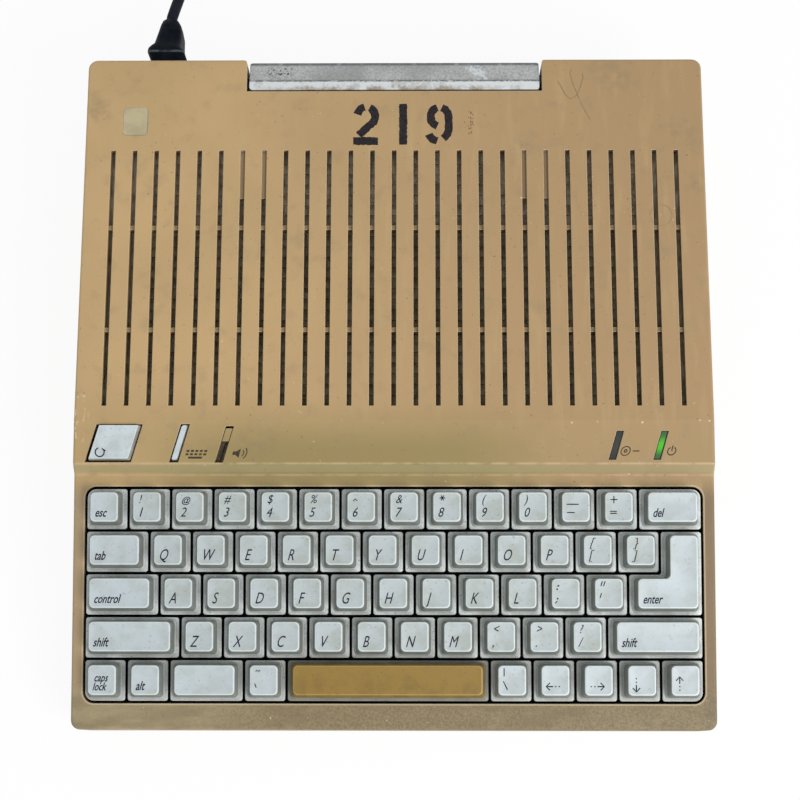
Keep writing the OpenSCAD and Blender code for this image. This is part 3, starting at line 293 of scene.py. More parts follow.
    def colour(self, value):
        self.plug(self.shader.inputs["Base Color"], value)

    def rough(self, value):
        self.plug(self.shader.inputs["Roughness"], value)

    def bend_normal(self, node):
        """Lets a node change the normal, after the earlier ones."""
        if self.normal:
            self.plug(node.inputs["Normal"], self.normal)
        self.normal = node.outputs[0]
        self.plug(self.shader.inputs["Normal"], self.normal)

    def raise_by(self, value, amount):
        """Adds a bump of that height in mm."""
        bump = self.node("Bump")
        self.plug(bump.inputs["Strength"], 1)
        self.plug(bump.inputs["Distance"], amount * MM)
        self.plug(bump.inputs["Height"], value)
        self.bend_normal(bump)

    def round_edges(self, radius):
        """Softens sharp edges by that radius in mm."""
        self.bend_normal(self.bevel(radius))


# A ring-shaped mark on the deck, and grey smudges: x, y, radius in mm
RING = (122.9, 77.2, 5)
SMUDGES = [(134, 118, 13), (104, 146, 16), (-120, 102, 7), (139, 92, 8), (-138, 128, 10), (62, 112, 9),
    (-60, -27, 14)]
# Light spots on the strip's rear edge: x, y, radius in mm
SPOTS = [(80, -19.4, 0.6), (91.5, -19, 0.4), (111.6, -19.3, 0.7), (137.4, -18.4, 0.5), (141.6, -18.6, 0.6)]
SCUFFS_PLACE = (-142, CREASE_Y + 1)


def deck_tone(paint, cloud):
    """Cloudy tan, darker to the right, with faint streaks from front to rear."""
    tone = paint.mix(cloud, (0.56, 0.37, 0.172), (0.49, 0.325, 0.15))
    tone = paint.mix(paint.along(0, -144, 144), tone, (0.39, 0.25, 0.119))
    return paint.coat(tone, paint.noise(5, 5, 0.5, 0.8, (1, 0.15, 1)), 0.3, (0.53, 0.39, 0.19))


def strip_tone(paint, tone, top_only):
    """Yellowed strip of the controls, least yellow left of its middle."""
    yellow = paint.along(1, CREASE_Y + 14, RAMP_TOP_Y + 4)
    yellow = paint.times(yellow, paint.along(1, WELL_Y + 40, WELL_Y + 52))
    middle = paint.span(paint.beyond((-20, RAMP_TOP_Y), (45, 5)), 0, 60 * MM, 1, 0.25)
    yellow = paint.times(paint.times(yellow, top_only), middle)
    return paint.coat(tone, yellow, 0.85, (0.27, 0.205, 0.07))


def bezel_tone(paint, tone):
    """Grey bezels beside the keys, and sandy grime on the front bezel, lightest at its left."""
    side = paint.span(paint.beyond((0, WELL_Y), (WELL_W / 2 - 1, 70)), 0, 1.5 * MM)
    side = paint.times(side, paint.along(1, RAMP_FOOT_Y, RAMP_FOOT_Y - 12))
    grey = paint.mix(paint.along(0, -20, 20), (0.359, 0.26, 0.154), (0.165, 0.11, 0.058))
    tone = paint.coat(tone, side, 0.8, grey)
    edge = FRONT_Y + FRONT_BEZEL
    sand = paint.mix(paint.noise(1, 6, 0.3, 0.7), (0.15, 0.115, 0.055), (0.255, 0.198, 0.105))
    sand = paint.coat(sand, paint.along(0, -30, -120), 0.5, (0.41, 0.34, 0.2))
    sand = paint.coat(sand, paint.noise(6, 5, 0.4, 0.7, (0.3, 1, 1)), 0.55, (0.15, 0.112, 0.058))
    sand = paint.coat(sand, paint.noise(14, 5, 0.5, 0.75), 0.55, (0.34, 0.27, 0.16))
    return paint.coat(tone, paint.along(1, edge + 12, edge - 1), 0.9, sand)


def ramp_tone(paint, tone):
    """Ramp behind the keys, with painted shade on its steep face and painted highlights along its two edges, and
    a painted highlight on the lip of the keyboard's well.
    """
    # Painted shade on the ramp's steep face.
    ramp = paint.band(1, RAMP_FOOT_Y + 0.6, RAMP_TOP_Y - 0.7)
    tone = paint.coat(tone, ramp, 0.65, (0.33, 0.29, 0.15))
    # Painted highlights, broken by noise, along the ramp's top edge and at its foot.
    for place, share in ((RAMP_TOP_Y, 0.5), (RAMP_FOOT_Y - 0.5, 0.35)):
        lit_edges = paint.times(paint.band(1, place - 0.4, place + 0.4, 0.5), share)
        tone = paint.coat(tone, lit_edges, paint.noise(6, 4, 0.25, 0.6), (0.64, 0.51, 0.3))
    half = (WELL_W / 2, WELL_D / 2 * math.cos(KEY_SLOPE))
    # Painted highlight on the lip of the keyboard's well.
    lip = paint.near(paint.beyond((0, WELL_Y), half, WELL_R), 0.35, 0.55)
    return paint.coat(tone, lip, 0.5, (0.66, 0.52, 0.33))


def mark_case(paint, tone, top_only):
    """Blotches, dark specks, light chips, scuffs, light spots and grey smudges."""
    tone = paint.coat(tone, paint.noise(9, 5, 0.52, 0.75), 0.28, (0.27, 0.2, 0.11))
    tone = paint.coat(tone, paint.noise(1.3, 3, 0.705, 0.73), 0.65, (0.15, 0.09, 0.05))
    tone = paint.coat(tone, paint.noise(1.7, 2, 0.76, 0.775), 0.7, (0.75, 0.62, 0.42))
    scuffed = paint.times(paint.span(paint.beyond(SCUFFS_PLACE, (2, 8)), 4 * MM, 0), top_only)
    scuffs = paint.times(scuffed, paint.noise(1.8, 5, 0.55, 0.68, (1, 0.4, 1)))
    tone = paint.coat(tone, scuffs, 0.55, (0.8, 0.68, 0.5))
    for x, y, size in SPOTS:
        spot = paint.span(paint.beyond((x, y)), size * MM, size * MM * 0.4)
        tone = paint.coat(tone, spot, 0.6, (0.82, 0.7, 0.5))
    for x, y, size in SMUDGES:
        smudge = paint.times(paint.span(paint.beyond((x, y)), size * MM, 0), paint.noise(4, 5, 0.35, 0.65))
        tone = paint.coat(tone, smudge, 0.5, (0.26, 0.19, 0.11))
    return tone


def vent_wall_shade(paint):
    """Painted shade mask: 1 on the walls of the vent slots, from a little below the deck."""
    below_deck = paint.across((0, CREASE_Y, CREASE_Z), (0, -math.tan(DECK_SLOPE), 1))
    off_vents = paint.beyond((0, (CREASE_Y + REAR_Y) / 2), (CASE_HALF_W - 8, DECK_LEN / 2 - 3))
    return paint.times(paint.span(below_deck, -0.5 * MM, -1 * MM), paint.span(off_vents, MM, 0))


def case_paint():
    """Aged tan case plastic: cloudy tone, fine grain, marks, painted edge highlights, grime, and painted shade in
    corners and vents.
    """
    paint = Paint("case_plastic", 0.5)
    cloud = paint.noise(60, 4, 0.3, 0.7)
    top_only = paint.along(2, RAMP_FOOT_Z - 6, RAMP_FOOT_Z - 1)
    tone = strip_tone(paint, deck_tone(paint, cloud), top_only)
    tone = ramp_tone(paint, bezel_tone(paint, tone))
    tone = mark_case(paint, tone, top_only)
    # Painted shade on the walls of the vent slots.
    tone = paint.coat(tone, vent_wall_shade(paint), 0.42, (0.14, 0.085, 0.032))
    ring = paint.times(paint.near(paint.beyond(RING[:2]), RING[2], 0.6), paint.noise(4, 4, 0.3, 0.6))
    tone = paint.coat(tone, ring, 0.5, (0.25, 0.17, 0.09))
    # Painted shade: darker in corners and recesses.
    tone = paint.coat(tone, paint.corner_shade(2), 0.7, (0.09, 0.07, 0.045))
    # Painted highlights along sharp edges, from the ramp back over the deck and its vents.
    lit_edges = paint.times(paint.edges(0.45), paint.along(1, RAMP_FOOT_Y, CREASE_Y))
    paint.colour(paint.coat(tone, lit_edges, 0.6, (0.8, 0.66, 0.44)))
    paint.rough(paint.span(cloud, 0, 1, 0.45, 0.58))
    paint.raise_by(paint.noise(0.7, 3), 0.02)
    paint.round_edges(0.5)
    return paint.material


def darker(colour, share):
    """The colour at that share of its brightness."""
    return [value * share for value in colour]


def plain_paint(name, base, shade, roughness, size=6, metallic=0.0, edge=0.3, shine=0.5):
    """Two-toned surface with fine grain, for the smaller pieces."""
    paint = Paint(name, roughness, metallic)
    paint.shader.inputs["Specular IOR Level"].default_value = shine
    tone = paint.mix(paint.noise(size, 4, 0.35, 0.65), base, shade)
    # Painted shade: darker in corners.
    paint.colour(paint.coat(tone, paint.corner_shade(1.5), 0.6, darker(shade, 0.3)))
    paint.raise_by(paint.noise(0.6, 3), 0.015)
    if edge:
        paint.round_edges(edge)
    return paint.material


def ink(name, base, shade, size=1.0):
    """Matt two-toned ink, with sharp edges."""
    return plain_paint(name, base, shade, 0.8, size=size, edge=0, shine=0.1)


def key_paint(name, top, stain, stain_share, grime=0.5, reach=1.6, speckle=0.4, front_darkening=0.0):
    """Key plastic with yellowed blotches, dark specks, speckled grime and painted shade in its corners, and
    darker front rows.
    """
    paint = Paint(name, 0.42)
    tone = paint.coat(top, paint.noise(7, 4, 0.4, 0.68), stain_share, stain)
    tone = paint.coat(tone, paint.noise(1.2, 4, 0.6, 0.72), speckle, darker(stain, 0.55))
    if front_darkening:
        # Darker on the front rows.
        front_rows = paint.along(1, WELL_Y - 15, WELL_Y - 36)
        tone = paint.coat(tone, front_rows, front_darkening, darker(stain, 0.6))
    # Speckled grime and painted shade in corners, from ambient occlusion broken by noise.
    corner_grime_and_shade = paint.times(paint.corner_shade(reach), paint.noise(1, 4, 0.2, 0.6))
    paint.colour(paint.coat(tone, corner_grime_and_shade, grime, darker(stain, 0.2)))
    paint.raise_by(paint.noise(0.6, 2), 0.01)
    return paint.material


def vent_paint(name, base, shade):
    """Dusty metal under the vents, darker towards the front."""
    paint = Paint(name, 0.8)
    tone = paint.mix(paint.noise(3, 5, 0.35, 0.65, (1, 0.4, 1)), base, shade)
    towards_front = paint.along(1, CREASE_Y + 98, CREASE_Y + 82)
    # Darker towards the front.
    paint.colour(paint.mix(towards_front, tone, paint.mix(1.0, tone, (0.55, 0.53, 0.45), "MULTIPLY")))
    return paint.material


CASE = case_paint()
# Lit and shaded copies of the key plastic: the ledges painted lighter than the tops, the caps' sides painted
# darker.
LIT_KEY_LEDGE = key_paint("lit_key_ledge", (0.64, 0.675, 0.66), (0.45, 0.455, 0.42), 0.7, 0.95, 1.4, 0.75, 0.5)
KEY_SIDE_SHADE = key_paint("key_side_shade", (0.215, 0.23, 0.215), (0.175, 0.178, 0.155), 0.7, 0.7, 1.2)
KEY_TOP = key_paint("key_top", (0.45, 0.495, 0.5), (0.385, 0.415, 0.38), 0.75, speckle=0.5)
# Painted highlight along the rims of the key tops.
KEY_RIM_HIGHLIGHT = key_paint("key_rim_highlight", (0.62, 0.68, 0.67), (0.52, 0.555, 0.515), 0.5, 0.3)
WIDE_TOP = key_paint("wide_key_top", (0.49, 0.545, 0.565), (0.42, 0.45, 0.435), 0.6)
# Painted shade: near-black walls of the skirts in the gaps between keys.
KEY_GAP_SHADE = ink("key_gap", (0.006, 0.006, 0.006), (0.004, 0.004, 0.004), 6)
DARK_PLATE = plain_paint("dark_plate", (0.02, 0.02, 0.02), (0.012, 0.012, 0.012), 0.7, shine=0.2)
BUTTON = key_paint("button_face", (0.58, 0.64, 0.66), (0.44, 0.47, 0.46), 0.6, 0.7)
# Shaded copy of the button plastic: painted shade on the buttons' sides.
BUTTON_SIDE_SHADE = key_paint("button_side_shade", (0.3, 0.3, 0.28), (0.2, 0.195, 0.17), 0.7, 0.7)
SPACE_LEDGE = key_paint("space_ledge", (0.25, 0.25, 0.205), (0.18, 0.17, 0.13), 0.7, 0.8, speckle=0.6)
# The space bar's sides: a slightly darker, shaded copy of its top.
SPACE_SIDE_SHADE = key_paint("space_side_shade", (0.24, 0.145, 0.03), (0.16, 0.1, 0.025), 0.7, 0.6)
SPACE_TOP = key_paint("space_top", (0.265, 0.16, 0.025), (0.2, 0.122, 0.02), 0.7)
# Painted highlight along the space bar's rim.
SPACE_RIM_HIGHLIGHT = key_paint("space_rim_highlight", (0.36, 0.235, 0.055), (0.28, 0.18, 0.04), 0.5, 0.3)
LEGEND = ink("legend_ink", (0.012, 0.014, 0.032), (0.02, 0.022, 0.042))
LABEL = ink("label_ink", (0.045, 0.035, 0.028), (0.09, 0.068, 0.045))
STENCIL = ink("stencil_ink", (0.007, 0.009, 0.019), (0.045, 0.036, 0.03), 0.45)
SCRATCH = plain_paint("scratch", (0.2, 0.14, 0.075), (0.3, 0.21, 0.11), 0.6, size=1, edge=0)
BLACK = plain_paint("black_plastic", (0.012, 0.013, 0.015), (0.03, 0.031, 0.033), 0.45)
RUBBER = plain_paint("cord_rubber", (0.006, 0.008, 0.013), (0.011, 0.014, 0.02), 0.55, size=12, shine=0.12)
STEEL = plain_paint("steel", (0.5, 0.5, 0.5), (0.36, 0.36, 0.36), 0.35, metallic=1.0)
SHIELD = vent_paint("shield_steel", (0.85, 0.72, 0.53), (0.42, 0.34, 0.23))
BOARD = plain_paint("circuit_board", (0.12, 0.16, 0.1), (0.2, 0.185, 0.13), 0.6)
DUSTY_STEEL = plain_paint("dusty_steel", (0.42, 0.39, 0.33), (0.3, 0.27, 0.21), 0.6)
GAUZE = vent_paint("shield_gauze", (0.85, 0.72, 0.53), (0.45, 0.36, 0.25))
BRASS = plain_paint("brass", (0.6, 0.42, 0.16), (0.45, 0.3, 0.1), 0.35, metallic=1.0)
BADGE = plain_paint("badge_metal", (0.52, 0.44, 0.26), (0.43, 0.365, 0.22), 0.4)


STRIP_EDGE_Y = REAR_Y - 10.9
SMEAR_PLACE, SMEAR_SIDE = (38.9, 148.2), (0.81, 0.587)
MARKS_PLACE = (-54, 148.4)


def handle_paint():
    """Grey handle: bright chipped front strip, mottled flat, dark lines at its front and rear."""
    paint = Paint("handle_plastic", 0.5)
    ragged = paint.times(paint.noise(1.6, 5), 1.2 * MM)
    depth = paint.math("SUBTRACT", paint.across((0, STRIP_EDGE_Y), (0, 1)), ragged)
    band = paint.mix(paint.noise(1, 6, 0.3, 0.7), (0.335, 0.34, 0.33), (0.515, 0.525, 0.51))
    band = paint.coat(band, paint.noise(26, 4, 0.4, 0.65), 0.55, (0.25, 0.25, 0.235))
    smeared = paint.near(paint.across(SMEAR_PLACE, SMEAR_SIDE), 0, 4)
    band = paint.coat(band, paint.times(smeared, paint.noise(2, 5, 0.4, 0.6)), 0.85, (0.68, 0.71, 0.73))
    for place, width, share in ((STRIP_EDGE_Y + 0.5, 0.5, 0.75), (REAR_Y - 1, 1, 0.85)):
        line = paint.times(paint.band(1, place - width, place + width, 0.5), paint.noise(4, 5, 0.2, 0.55))
        band = paint.coat(band, line, share, (0.1, 0.105, 0.115))
    front = paint.coat((0.67, 0.69, 0.69), paint.noise(4, 6, 0.5, 0.7), 0.6, (0.42, 0.4, 0.36))
    stain = paint.times(paint.noise(5, 5, 0.35, 0.6), paint.span(depth, -2 * MM, -4.5 * MM))
    middle = paint.span(paint.beyond((-5, STRIP_EDGE_Y), (38, 5)), 25 * MM, 0, 0.08, 1)
    front = paint.coat(front, paint.times(stain, middle), 0.85, (0.28, 0.215, 0.155))
    tone = paint.mix(paint.span(depth, -0.3 * MM, -0.8 * MM), band, front)
    tone = paint.coat(tone, paint.noise(1, 3, 0.7, 0.73), 0.85, (0.04, 0.04, 0.045))
    marked = paint.span(paint.beyond(MARKS_PLACE, (4, 1)), 3 * MM, 0)
    tone = paint.mix(paint.times(marked, paint.noise(1.2, 2, 0.55, 0.6)), tone, (0.03, 0.03, 0.035))
    # Painted shade: darker in corners.
    paint.colour(paint.coat(tone, paint.corner_shade(2), 0.6, (0.06, 0.055, 0.05)))
    paint.raise_by(paint.noise(0.8, 3), 0.02)
    paint.round_edges(0.6)
    return paint.material


SLANT = math.radians(16.5)
LIGHT_HALF_W, LIGHT_S, LIGHT_HALF_LEN = 1.55, -11.4, 6.4


def light_paint(name, x, middle, ends, glow):
    """Translucent light window in a painted dark frame of shade, brightest just in front of its middle."""
    paint = Paint(name, 0.25)
    place = CREASE_Y + LIGHT_S * math.cos(STRIP_SLOPE)
    fade = paint.times(paint.along(1, place - 5, place - 0.6), paint.along(1, place + 5.5, place))
    tone = paint.mix(fade, ends, middle)
    tone = paint.coat(tone, paint.noise(1.2, 3), 0.3, ends)
    slanted = (1, -math.tan(SLANT) / math.cos(STRIP_SLOPE))
    off = paint.math("ABSOLUTE", paint.across((x - 0.12, place), slanted))
    inside = paint.span(off, (LIGHT_HALF_W - 0.3) * MM, (LIGHT_HALF_W - 0.5) * MM)
    long = paint.span(paint.beyond((x, place + 0.1), (10, LIGHT_HALF_LEN - 0.5)), 0.2 * MM, 0)
    inside = paint.times(inside, long)
    # Outside the window: a near-black frame painted as the shade of the opening's walls.
    paint.colour(paint.mix(inside, (0.012, 0.011, 0.008), tone))
    if glow:
        shining = paint.times(inside, fade)
        paint.plug(paint.shader.inputs["Emission Color"], paint.mix(shining, (0, 0, 0), middle))
        paint.shader.inputs["Emission Strength"].default_value = glow
    return paint.material


def board_paint():
    """Green board with the pale brown bodies of the strip's controls behind it."""
    paint = Paint("keyboard_board", 0.6)
    green = paint.mix(paint.noise(6), (0.03, 0.12, 0.06), (0.02, 0.08, 0.04))
    brown = paint.mix(paint.noise(1.5, 5), (0.9, 0.78, 0.62), (0.5, 0.43, 0.33))
    paint.colour(paint.mix(paint.along(1, RAMP_FOOT_Y - 0.5, RAMP_FOOT_Y + 0.5), green, brown))
    return paint.material


HANDLE = handle_paint()
POWER_LIGHT_X = CASE_HALF_W - 24.2
GREEN_LIGHT = light_paint("green_window", POWER_LIGHT_X, (0.055, 0.42, 0.012), (0.04, 0.12, 0.036), 0.3)
DARK_LIGHT = light_paint("dark_window", POWER_LIGHT_X - 20, (0.042, 0.044, 0.04), (0.032, 0.034, 0.031), 0)
KEYBOARD_BOARD = board_paint()

CAD_PAINTS = [
    (CASE, "upper_case lower_case eject_button volume_slider"),
    (HANDLE, "handle"),
    (BADGE, "blank_badge"),
    (STEEL, "handle_pins case_screws data_ports"),
    (BRASS, "monitor_jack"),
    (RUBBER, "rubber_feet cord_connector cord_plug"),
    (BLACK, "power_inlet power_switch serial_ports board_chips speaker"),
    (SHIELD, "vent_shield"),
    (DARK_PLATE, "keyboard_plate key_switches"),
    (KEYBOARD_BOARD, "keyboard_board"),
    (BOARD, "main_board"),
    (DUSTY_STEEL, "power_supply disk_drive"),
    (BUTTON, "reset_button"),
    (KEY_RIM_HIGHLIGHT, "keyboard_switch"),
    (DARK_LIGHT, "disk_light"),
    (GREEN_LIGHT, "power_light"),
]


def dress(obj, *materials):
    if obj.data.materials:
        obj.data.materials.clear()
    for material in materials:
        obj.data.materials.append(material)


for material, names in CAD_PAINTS:
    for name in names.split():
        dress(nodes[name], material)
dress(lead, RUBBER)

# ---- gauze under the shield sheet
# Underside of the sheet below the deck, and how far the gauze lies below it and inside its edges
SHIELD_FOOT, GAUZE_GAP, GAUZE_SIDE, GAUZE_END = -6.8, 0.05, 2, 3


def make_gauze():
    """Fine dusty mesh against the underside of the perforated shield sheet."""
    low, high = [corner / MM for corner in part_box("vent_shield")]
    half_w = high.x - GAUZE_SIDE
    front, rear = low.y - CREASE_Y + GAUZE_END, high.y - CREASE_Y - GAUZE_END
    corners = [(-half_w, front), (half_w, front), (half_w, rear), (-half_w, rear)]
    data = bpy.data.meshes.new("shield_gauze")
    placed = [DECK @ Vector((x, s, SHIELD_FOOT - GAUZE_GAP)) for x, s in corners]
    data.from_pydata(placed, [], [(0, 1, 2, 3)])
    gauze = add_object("shield_gauze", data)
    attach(gauze, "case")
    dress(gauze, GAUZE)


make_gauze()

# ---- keys
SKIRT_FOOT, SKIRT_TOP, CAP_TOP, CAP_LEAN = -2.2, 0.3, 7.7, 1.1
# Width and depth of a one-unit key's skirt, and of its cap's foot and top
SKIRT_SIDE, FOOT_SIDE, TOP_SIDE = (KEY_PITCH - KEY_GAP, KEY_PITCH - KEY_GAP), (15.2, 15.6), (12.3, 13.1)
# Share of the cap's height, from its foot, that gets the skirt's ledge paint, pale with painted light and grimy
LOW_SHARE = 0.25
LOW_SIDE = [foot + (top - foot) * LOW_SHARE for foot, top in zip(FOOT_SIDE, TOP_SIDE)]
DISH, SPACE_CROWN = 0.45, 0.12
DISH_HALF = TOP_SIDE[0] / 2
CORNER_STEPS = 5
# Material slots of a key: WALL is painted shade, SIDE a shaded copy of the plastic, RIM a painted highlight, and
# on the normal keys LEDGE a lit copy
WALL, LEDGE, SIDE, RIM, FACE, INK = range(6)

# Rows from rear to front: node, width in units, and a legend for each of its keys
KEY_ROWS = [
    [("escape_key", 1, ["esc"]), ("number_keys_left", 1, ["!1", "@2", "#3", "$4"]),
        ("number_keys_middle", 1, ["%5", "^6", "&7", "*8"]),
        ("number_keys_right", 1, ["(9", ")0", "_-", "+="]), ("delete_key", 1.5, ["del"])],
    [("tab_key", 1.5, ["tab"]), ("upper_keys_left", 1, ["Q", "W", "E", "R"]),
        ("upper_keys_middle", 1, ["T", "Y", "U", "I"]), ("upper_keys_right", 1, ["O", "P", "{[", "}]"])],
    [("control_key", 1.75, ["control"]), ("home_keys_left", 1, ["A", "S", "D", "F"]),
        ("home_keys_middle", 1, ["G", "H", "J", "K"]), ("home_keys_right", 1, ["L", ":;", "\"'"]),
        ("return_key", 1.75, ["enter"])],
    [("left_shift_key", 2.25, ["shift"]), ("lower_keys_left", 1, ["Z", "X", "C", "V"]),
        ("lower_keys_middle", 1, ["B", "N", "M"]), ("lower_keys_right", 1, ["<,", ">.", "?/"]),
        ("right_shift_key", 2.25, ["shift"])],
    [("caps_key", 1, ["caps\nlock"]), ("option_key", 1, ["alt"]), ("command_key", 1.75, [""]),
        ("tilde_key", 1, ["~`"]), ("space_bar", 4.75, [""]), ("backslash_key", 1, ["|\\"]),
        ("left_arrow_key", 1, ["arrow 180"]), ("right_arrow_key", 1, ["arrow 0"]),
        ("down_arrow_key", 1, ["arrow 270"]), ("up_arrow_key", 1, ["arrow 90"])],
]


# Corner keys: which corner of the skirt, in the order of rectangle(), follows the well's round corner
ROUND_CORNERS = {"up_arrow_key": 0, "delete_key": 1, "escape_key": 2, "caps_key": 3}
BIG_R = WELL_R - WELL_MARGIN


def rectangle(half_w, half_d, _unit_w=None):
    """Corners as (x, y, inward x, inward y), counter-clockwise."""
    return [(half_w * x, half_d * y, -x, -y) for x, y in ((1, -1), (1, 1), (-1, 1), (-1, -1))]


def bent(half_w, half_d, unit_w):
    """The return key's outline: a unit of the upper row stands on the right end of the lower row's key."""
    step = half_w * 2 - unit_w
    top = half_d + KEY_PITCH
    return [(half_w, -half_d, -1, 1), (half_w, top, -1, -1), (-half_w + step, top, 1, -1),
        (-half_w + step, half_d, 1, -1), (-half_w, half_d, 1, -1), (-half_w, -half_d, 1, 1)]


def outline(corners, inset, radius, big_corner=None):
    """Points of the outline, its sides moved in and its corners rounded, a named one more than the rest."""
    points = [Vector((x + inset * sx, y + inset * sy)) for x, y, sx, sy in corners]
    rounded = []
    for index, corner in enumerate(points):
        back = (points[index - 1] - corner).normalized()
        ahead = (points[(index + 1) % len(points)] - corner).normalized()
        bend = BIG_R - inset if index == big_corner else radius
        centre = corner + bend * (back + ahead)
        for step in range(CORNER_STEPS + 1):
            angle = math.pi / 2 * step / CORNER_STEPS
            rounded.append(centre - bend * (ahead * math.cos(angle) + back * math.sin(angle)))
    return rounded


def loft(mesh, rings, material_of):
    """Quads between rings of equal length, each band with its own material, closed by a face at the end."""
    loops = [[mesh.verts.new(point) for point in ring] for ring in rings]
    for band, (lower, upper) in enumerate(zip(loops, loops[1:])):
        for index in range(len(lower)):
            after = (index + 1) % len(lower)
            face = mesh.faces.new((lower[index], lower[after], upper[after], upper[index]))
            face.material_index = material_of[band]
    mesh.faces.new(loops[-1]).material_index = material_of[-1]


def add_cap(mesh, units, x, s, shape, crowned, big_corner):
    """Skirt, leaning cap, rim and hollow of one key at (x, s) of the keyboard's surface."""
    extra = (units - 1) * KEY_PITCH
    skirt, foot, low, top = [shape((width + extra) / 2, depth / 2, width)
        for width, depth in (SKIRT_SIDE, FOOT_SIDE, LOW_SIDE, TOP_SIDE)]
    # outline, inset, corner radius, height, share of the lean, and the material of the band below it
    levels = [(skirt, 0.1, 1.2, SKIRT_FOOT, 0, WALL), (skirt, 0.1, 1.2, SKIRT_TOP - 0.4, 0, WALL),
        (skirt, 0.2, 1.1, SKIRT_TOP - 0.15, 0, WALL), (skirt, 0.42, 1, SKIRT_TOP, 0, LEDGE),
        (foot, -0.25, 1.9, SKIRT_TOP, 0, LEDGE), (foot, 0, 1.6, SKIRT_TOP + 0.4, 0, LEDGE),
        (low, 0, 1.7, SKIRT_TOP + (CAP_TOP - SKIRT_TOP) * LOW_SHARE, LOW_SHARE, LEDGE),
        (top, -0.15, 2.1, CAP_TOP - 0.9, 1, SIDE), (top, 0, 2, CAP_TOP - 0.45, 1, SIDE),
        (top, 0.2, 1.9, CAP_TOP - 0.12, 1, RIM), (top, 0.6, 1.7, CAP_TOP, 1, RIM),
        (top, 0.95, 1.5, None, 1, FACE), (top, 1.8, 1.1, None, 1, FACE), (top, 3, 0.7, None, 1, FACE),
        (top, 4.4, 0.4, None, 1, FACE), (top, 5.4, 0.2, None, 1, FACE)]
    rings = []
    for corners, inset, radius, level, lean, _ in levels:
        if level is None:
            depth = SPACE_CROWN if crowned else DISH
            level = CAP_TOP - depth * (1 - ((DISH_HALF - inset) / (DISH_HALF - 0.5)) ** 2)
        round_one = big_corner if corners is skirt else None
        rings.append([KEYS @ Vector((x + p.x, s + p.y + CAP_LEAN * lean, level))
            for p in outline(corners, inset, radius, round_one)])
    loft(mesh, rings, [entry[5] for entry in levels[1:]] + [FACE])


INK_LIFT = 0.03
CAPITAL_SHARE = 0.69
LETTER_SHEAR = 0.27
# Width and added stroke of single letters, of digits and signs, and of words
LETTER_STYLE, DIGIT_STYLE, WORD_STYLE = (0.68, 0.001), (0.84, 0.001), (0.7, 0.015)
LEGEND_LEFT, LEGEND_LOW = 1.9, 2.05
LETTER_H, DIGIT_H, SIGN_H, WORD_H, SMALL_WORD_H = 4.9, 4.1, 3.7, 3.8, 3.4
SIGN_STEP, LINE_STEP = 6.2, 3.9


def text_points(body, height, style):
    """Vertices and faces of a short slanted text from the origin, capitals of that height in mm."""
    width, stroke = style
    curve = bpy.data.curves.new("text", "FONT")
    curve.body = body
    curve.size = 1
    curve.offset = stroke
    curve.resolution_u = 3
    holder = add_object("text", curve)
    shown = holder.evaluated_get(bpy.context.evaluated_depsgraph_get())
    mesh = bpy.data.meshes.new_from_object(shown)
    scale = height / CAPITAL_SHARE
    points = [Vector(((v.co.x * width + v.co.y * LETTER_SHEAR) * scale, v.co.y * scale))
        for v in mesh.vertices]
    faces = [tuple(face.vertices) for face in mesh.polygons]
    bpy.data.objects.remove(holder)
    bpy.data.curves.remove(curve)
    bpy.data.meshes.remove(mesh)
    return points, faces


def ribbon(points, width):
    """Flat band of that width along a line of points, as vertices and faces."""
    line = [Vector(point) for point in points]
    sides = []
    for index, point in enumerate(line):
        along = (line[min(index + 1, len(line) - 1)] - line[max(index - 1, 0)]).normalized()
        across = Vector((-along.y, along.x)) * width / 2
        sides += [point + across, point - across]
    return sides, [(2 * i, 2 * i + 1, 2 * i + 3, 2 * i + 2) for i in range(len(line) - 1)]


def joined(shapes):
    """Several flat shapes as one."""
    points, faces = [], []
    for corners, sides in shapes:
        faces += [tuple(index + len(points) for index in side) for side in sides]
        points += corners
    return points, faces


def arrow_points(turn):
    """An open arrow with a dotted tail."""
    lines = [[(1.6, 1.6), (3.3, 0), (1.6, -1.6)], [(0.2, 0), (3.1, 0)], [(-1.2, 0), (-0.6, 0)],
        [(-2.8, 0), (-2.2, 0)]]
    points, faces = joined([ribbon(line, 0.48) for line in lines])
    return [Matrix.Rotation(math.radians(turn), 2) @ point for point in points], faces


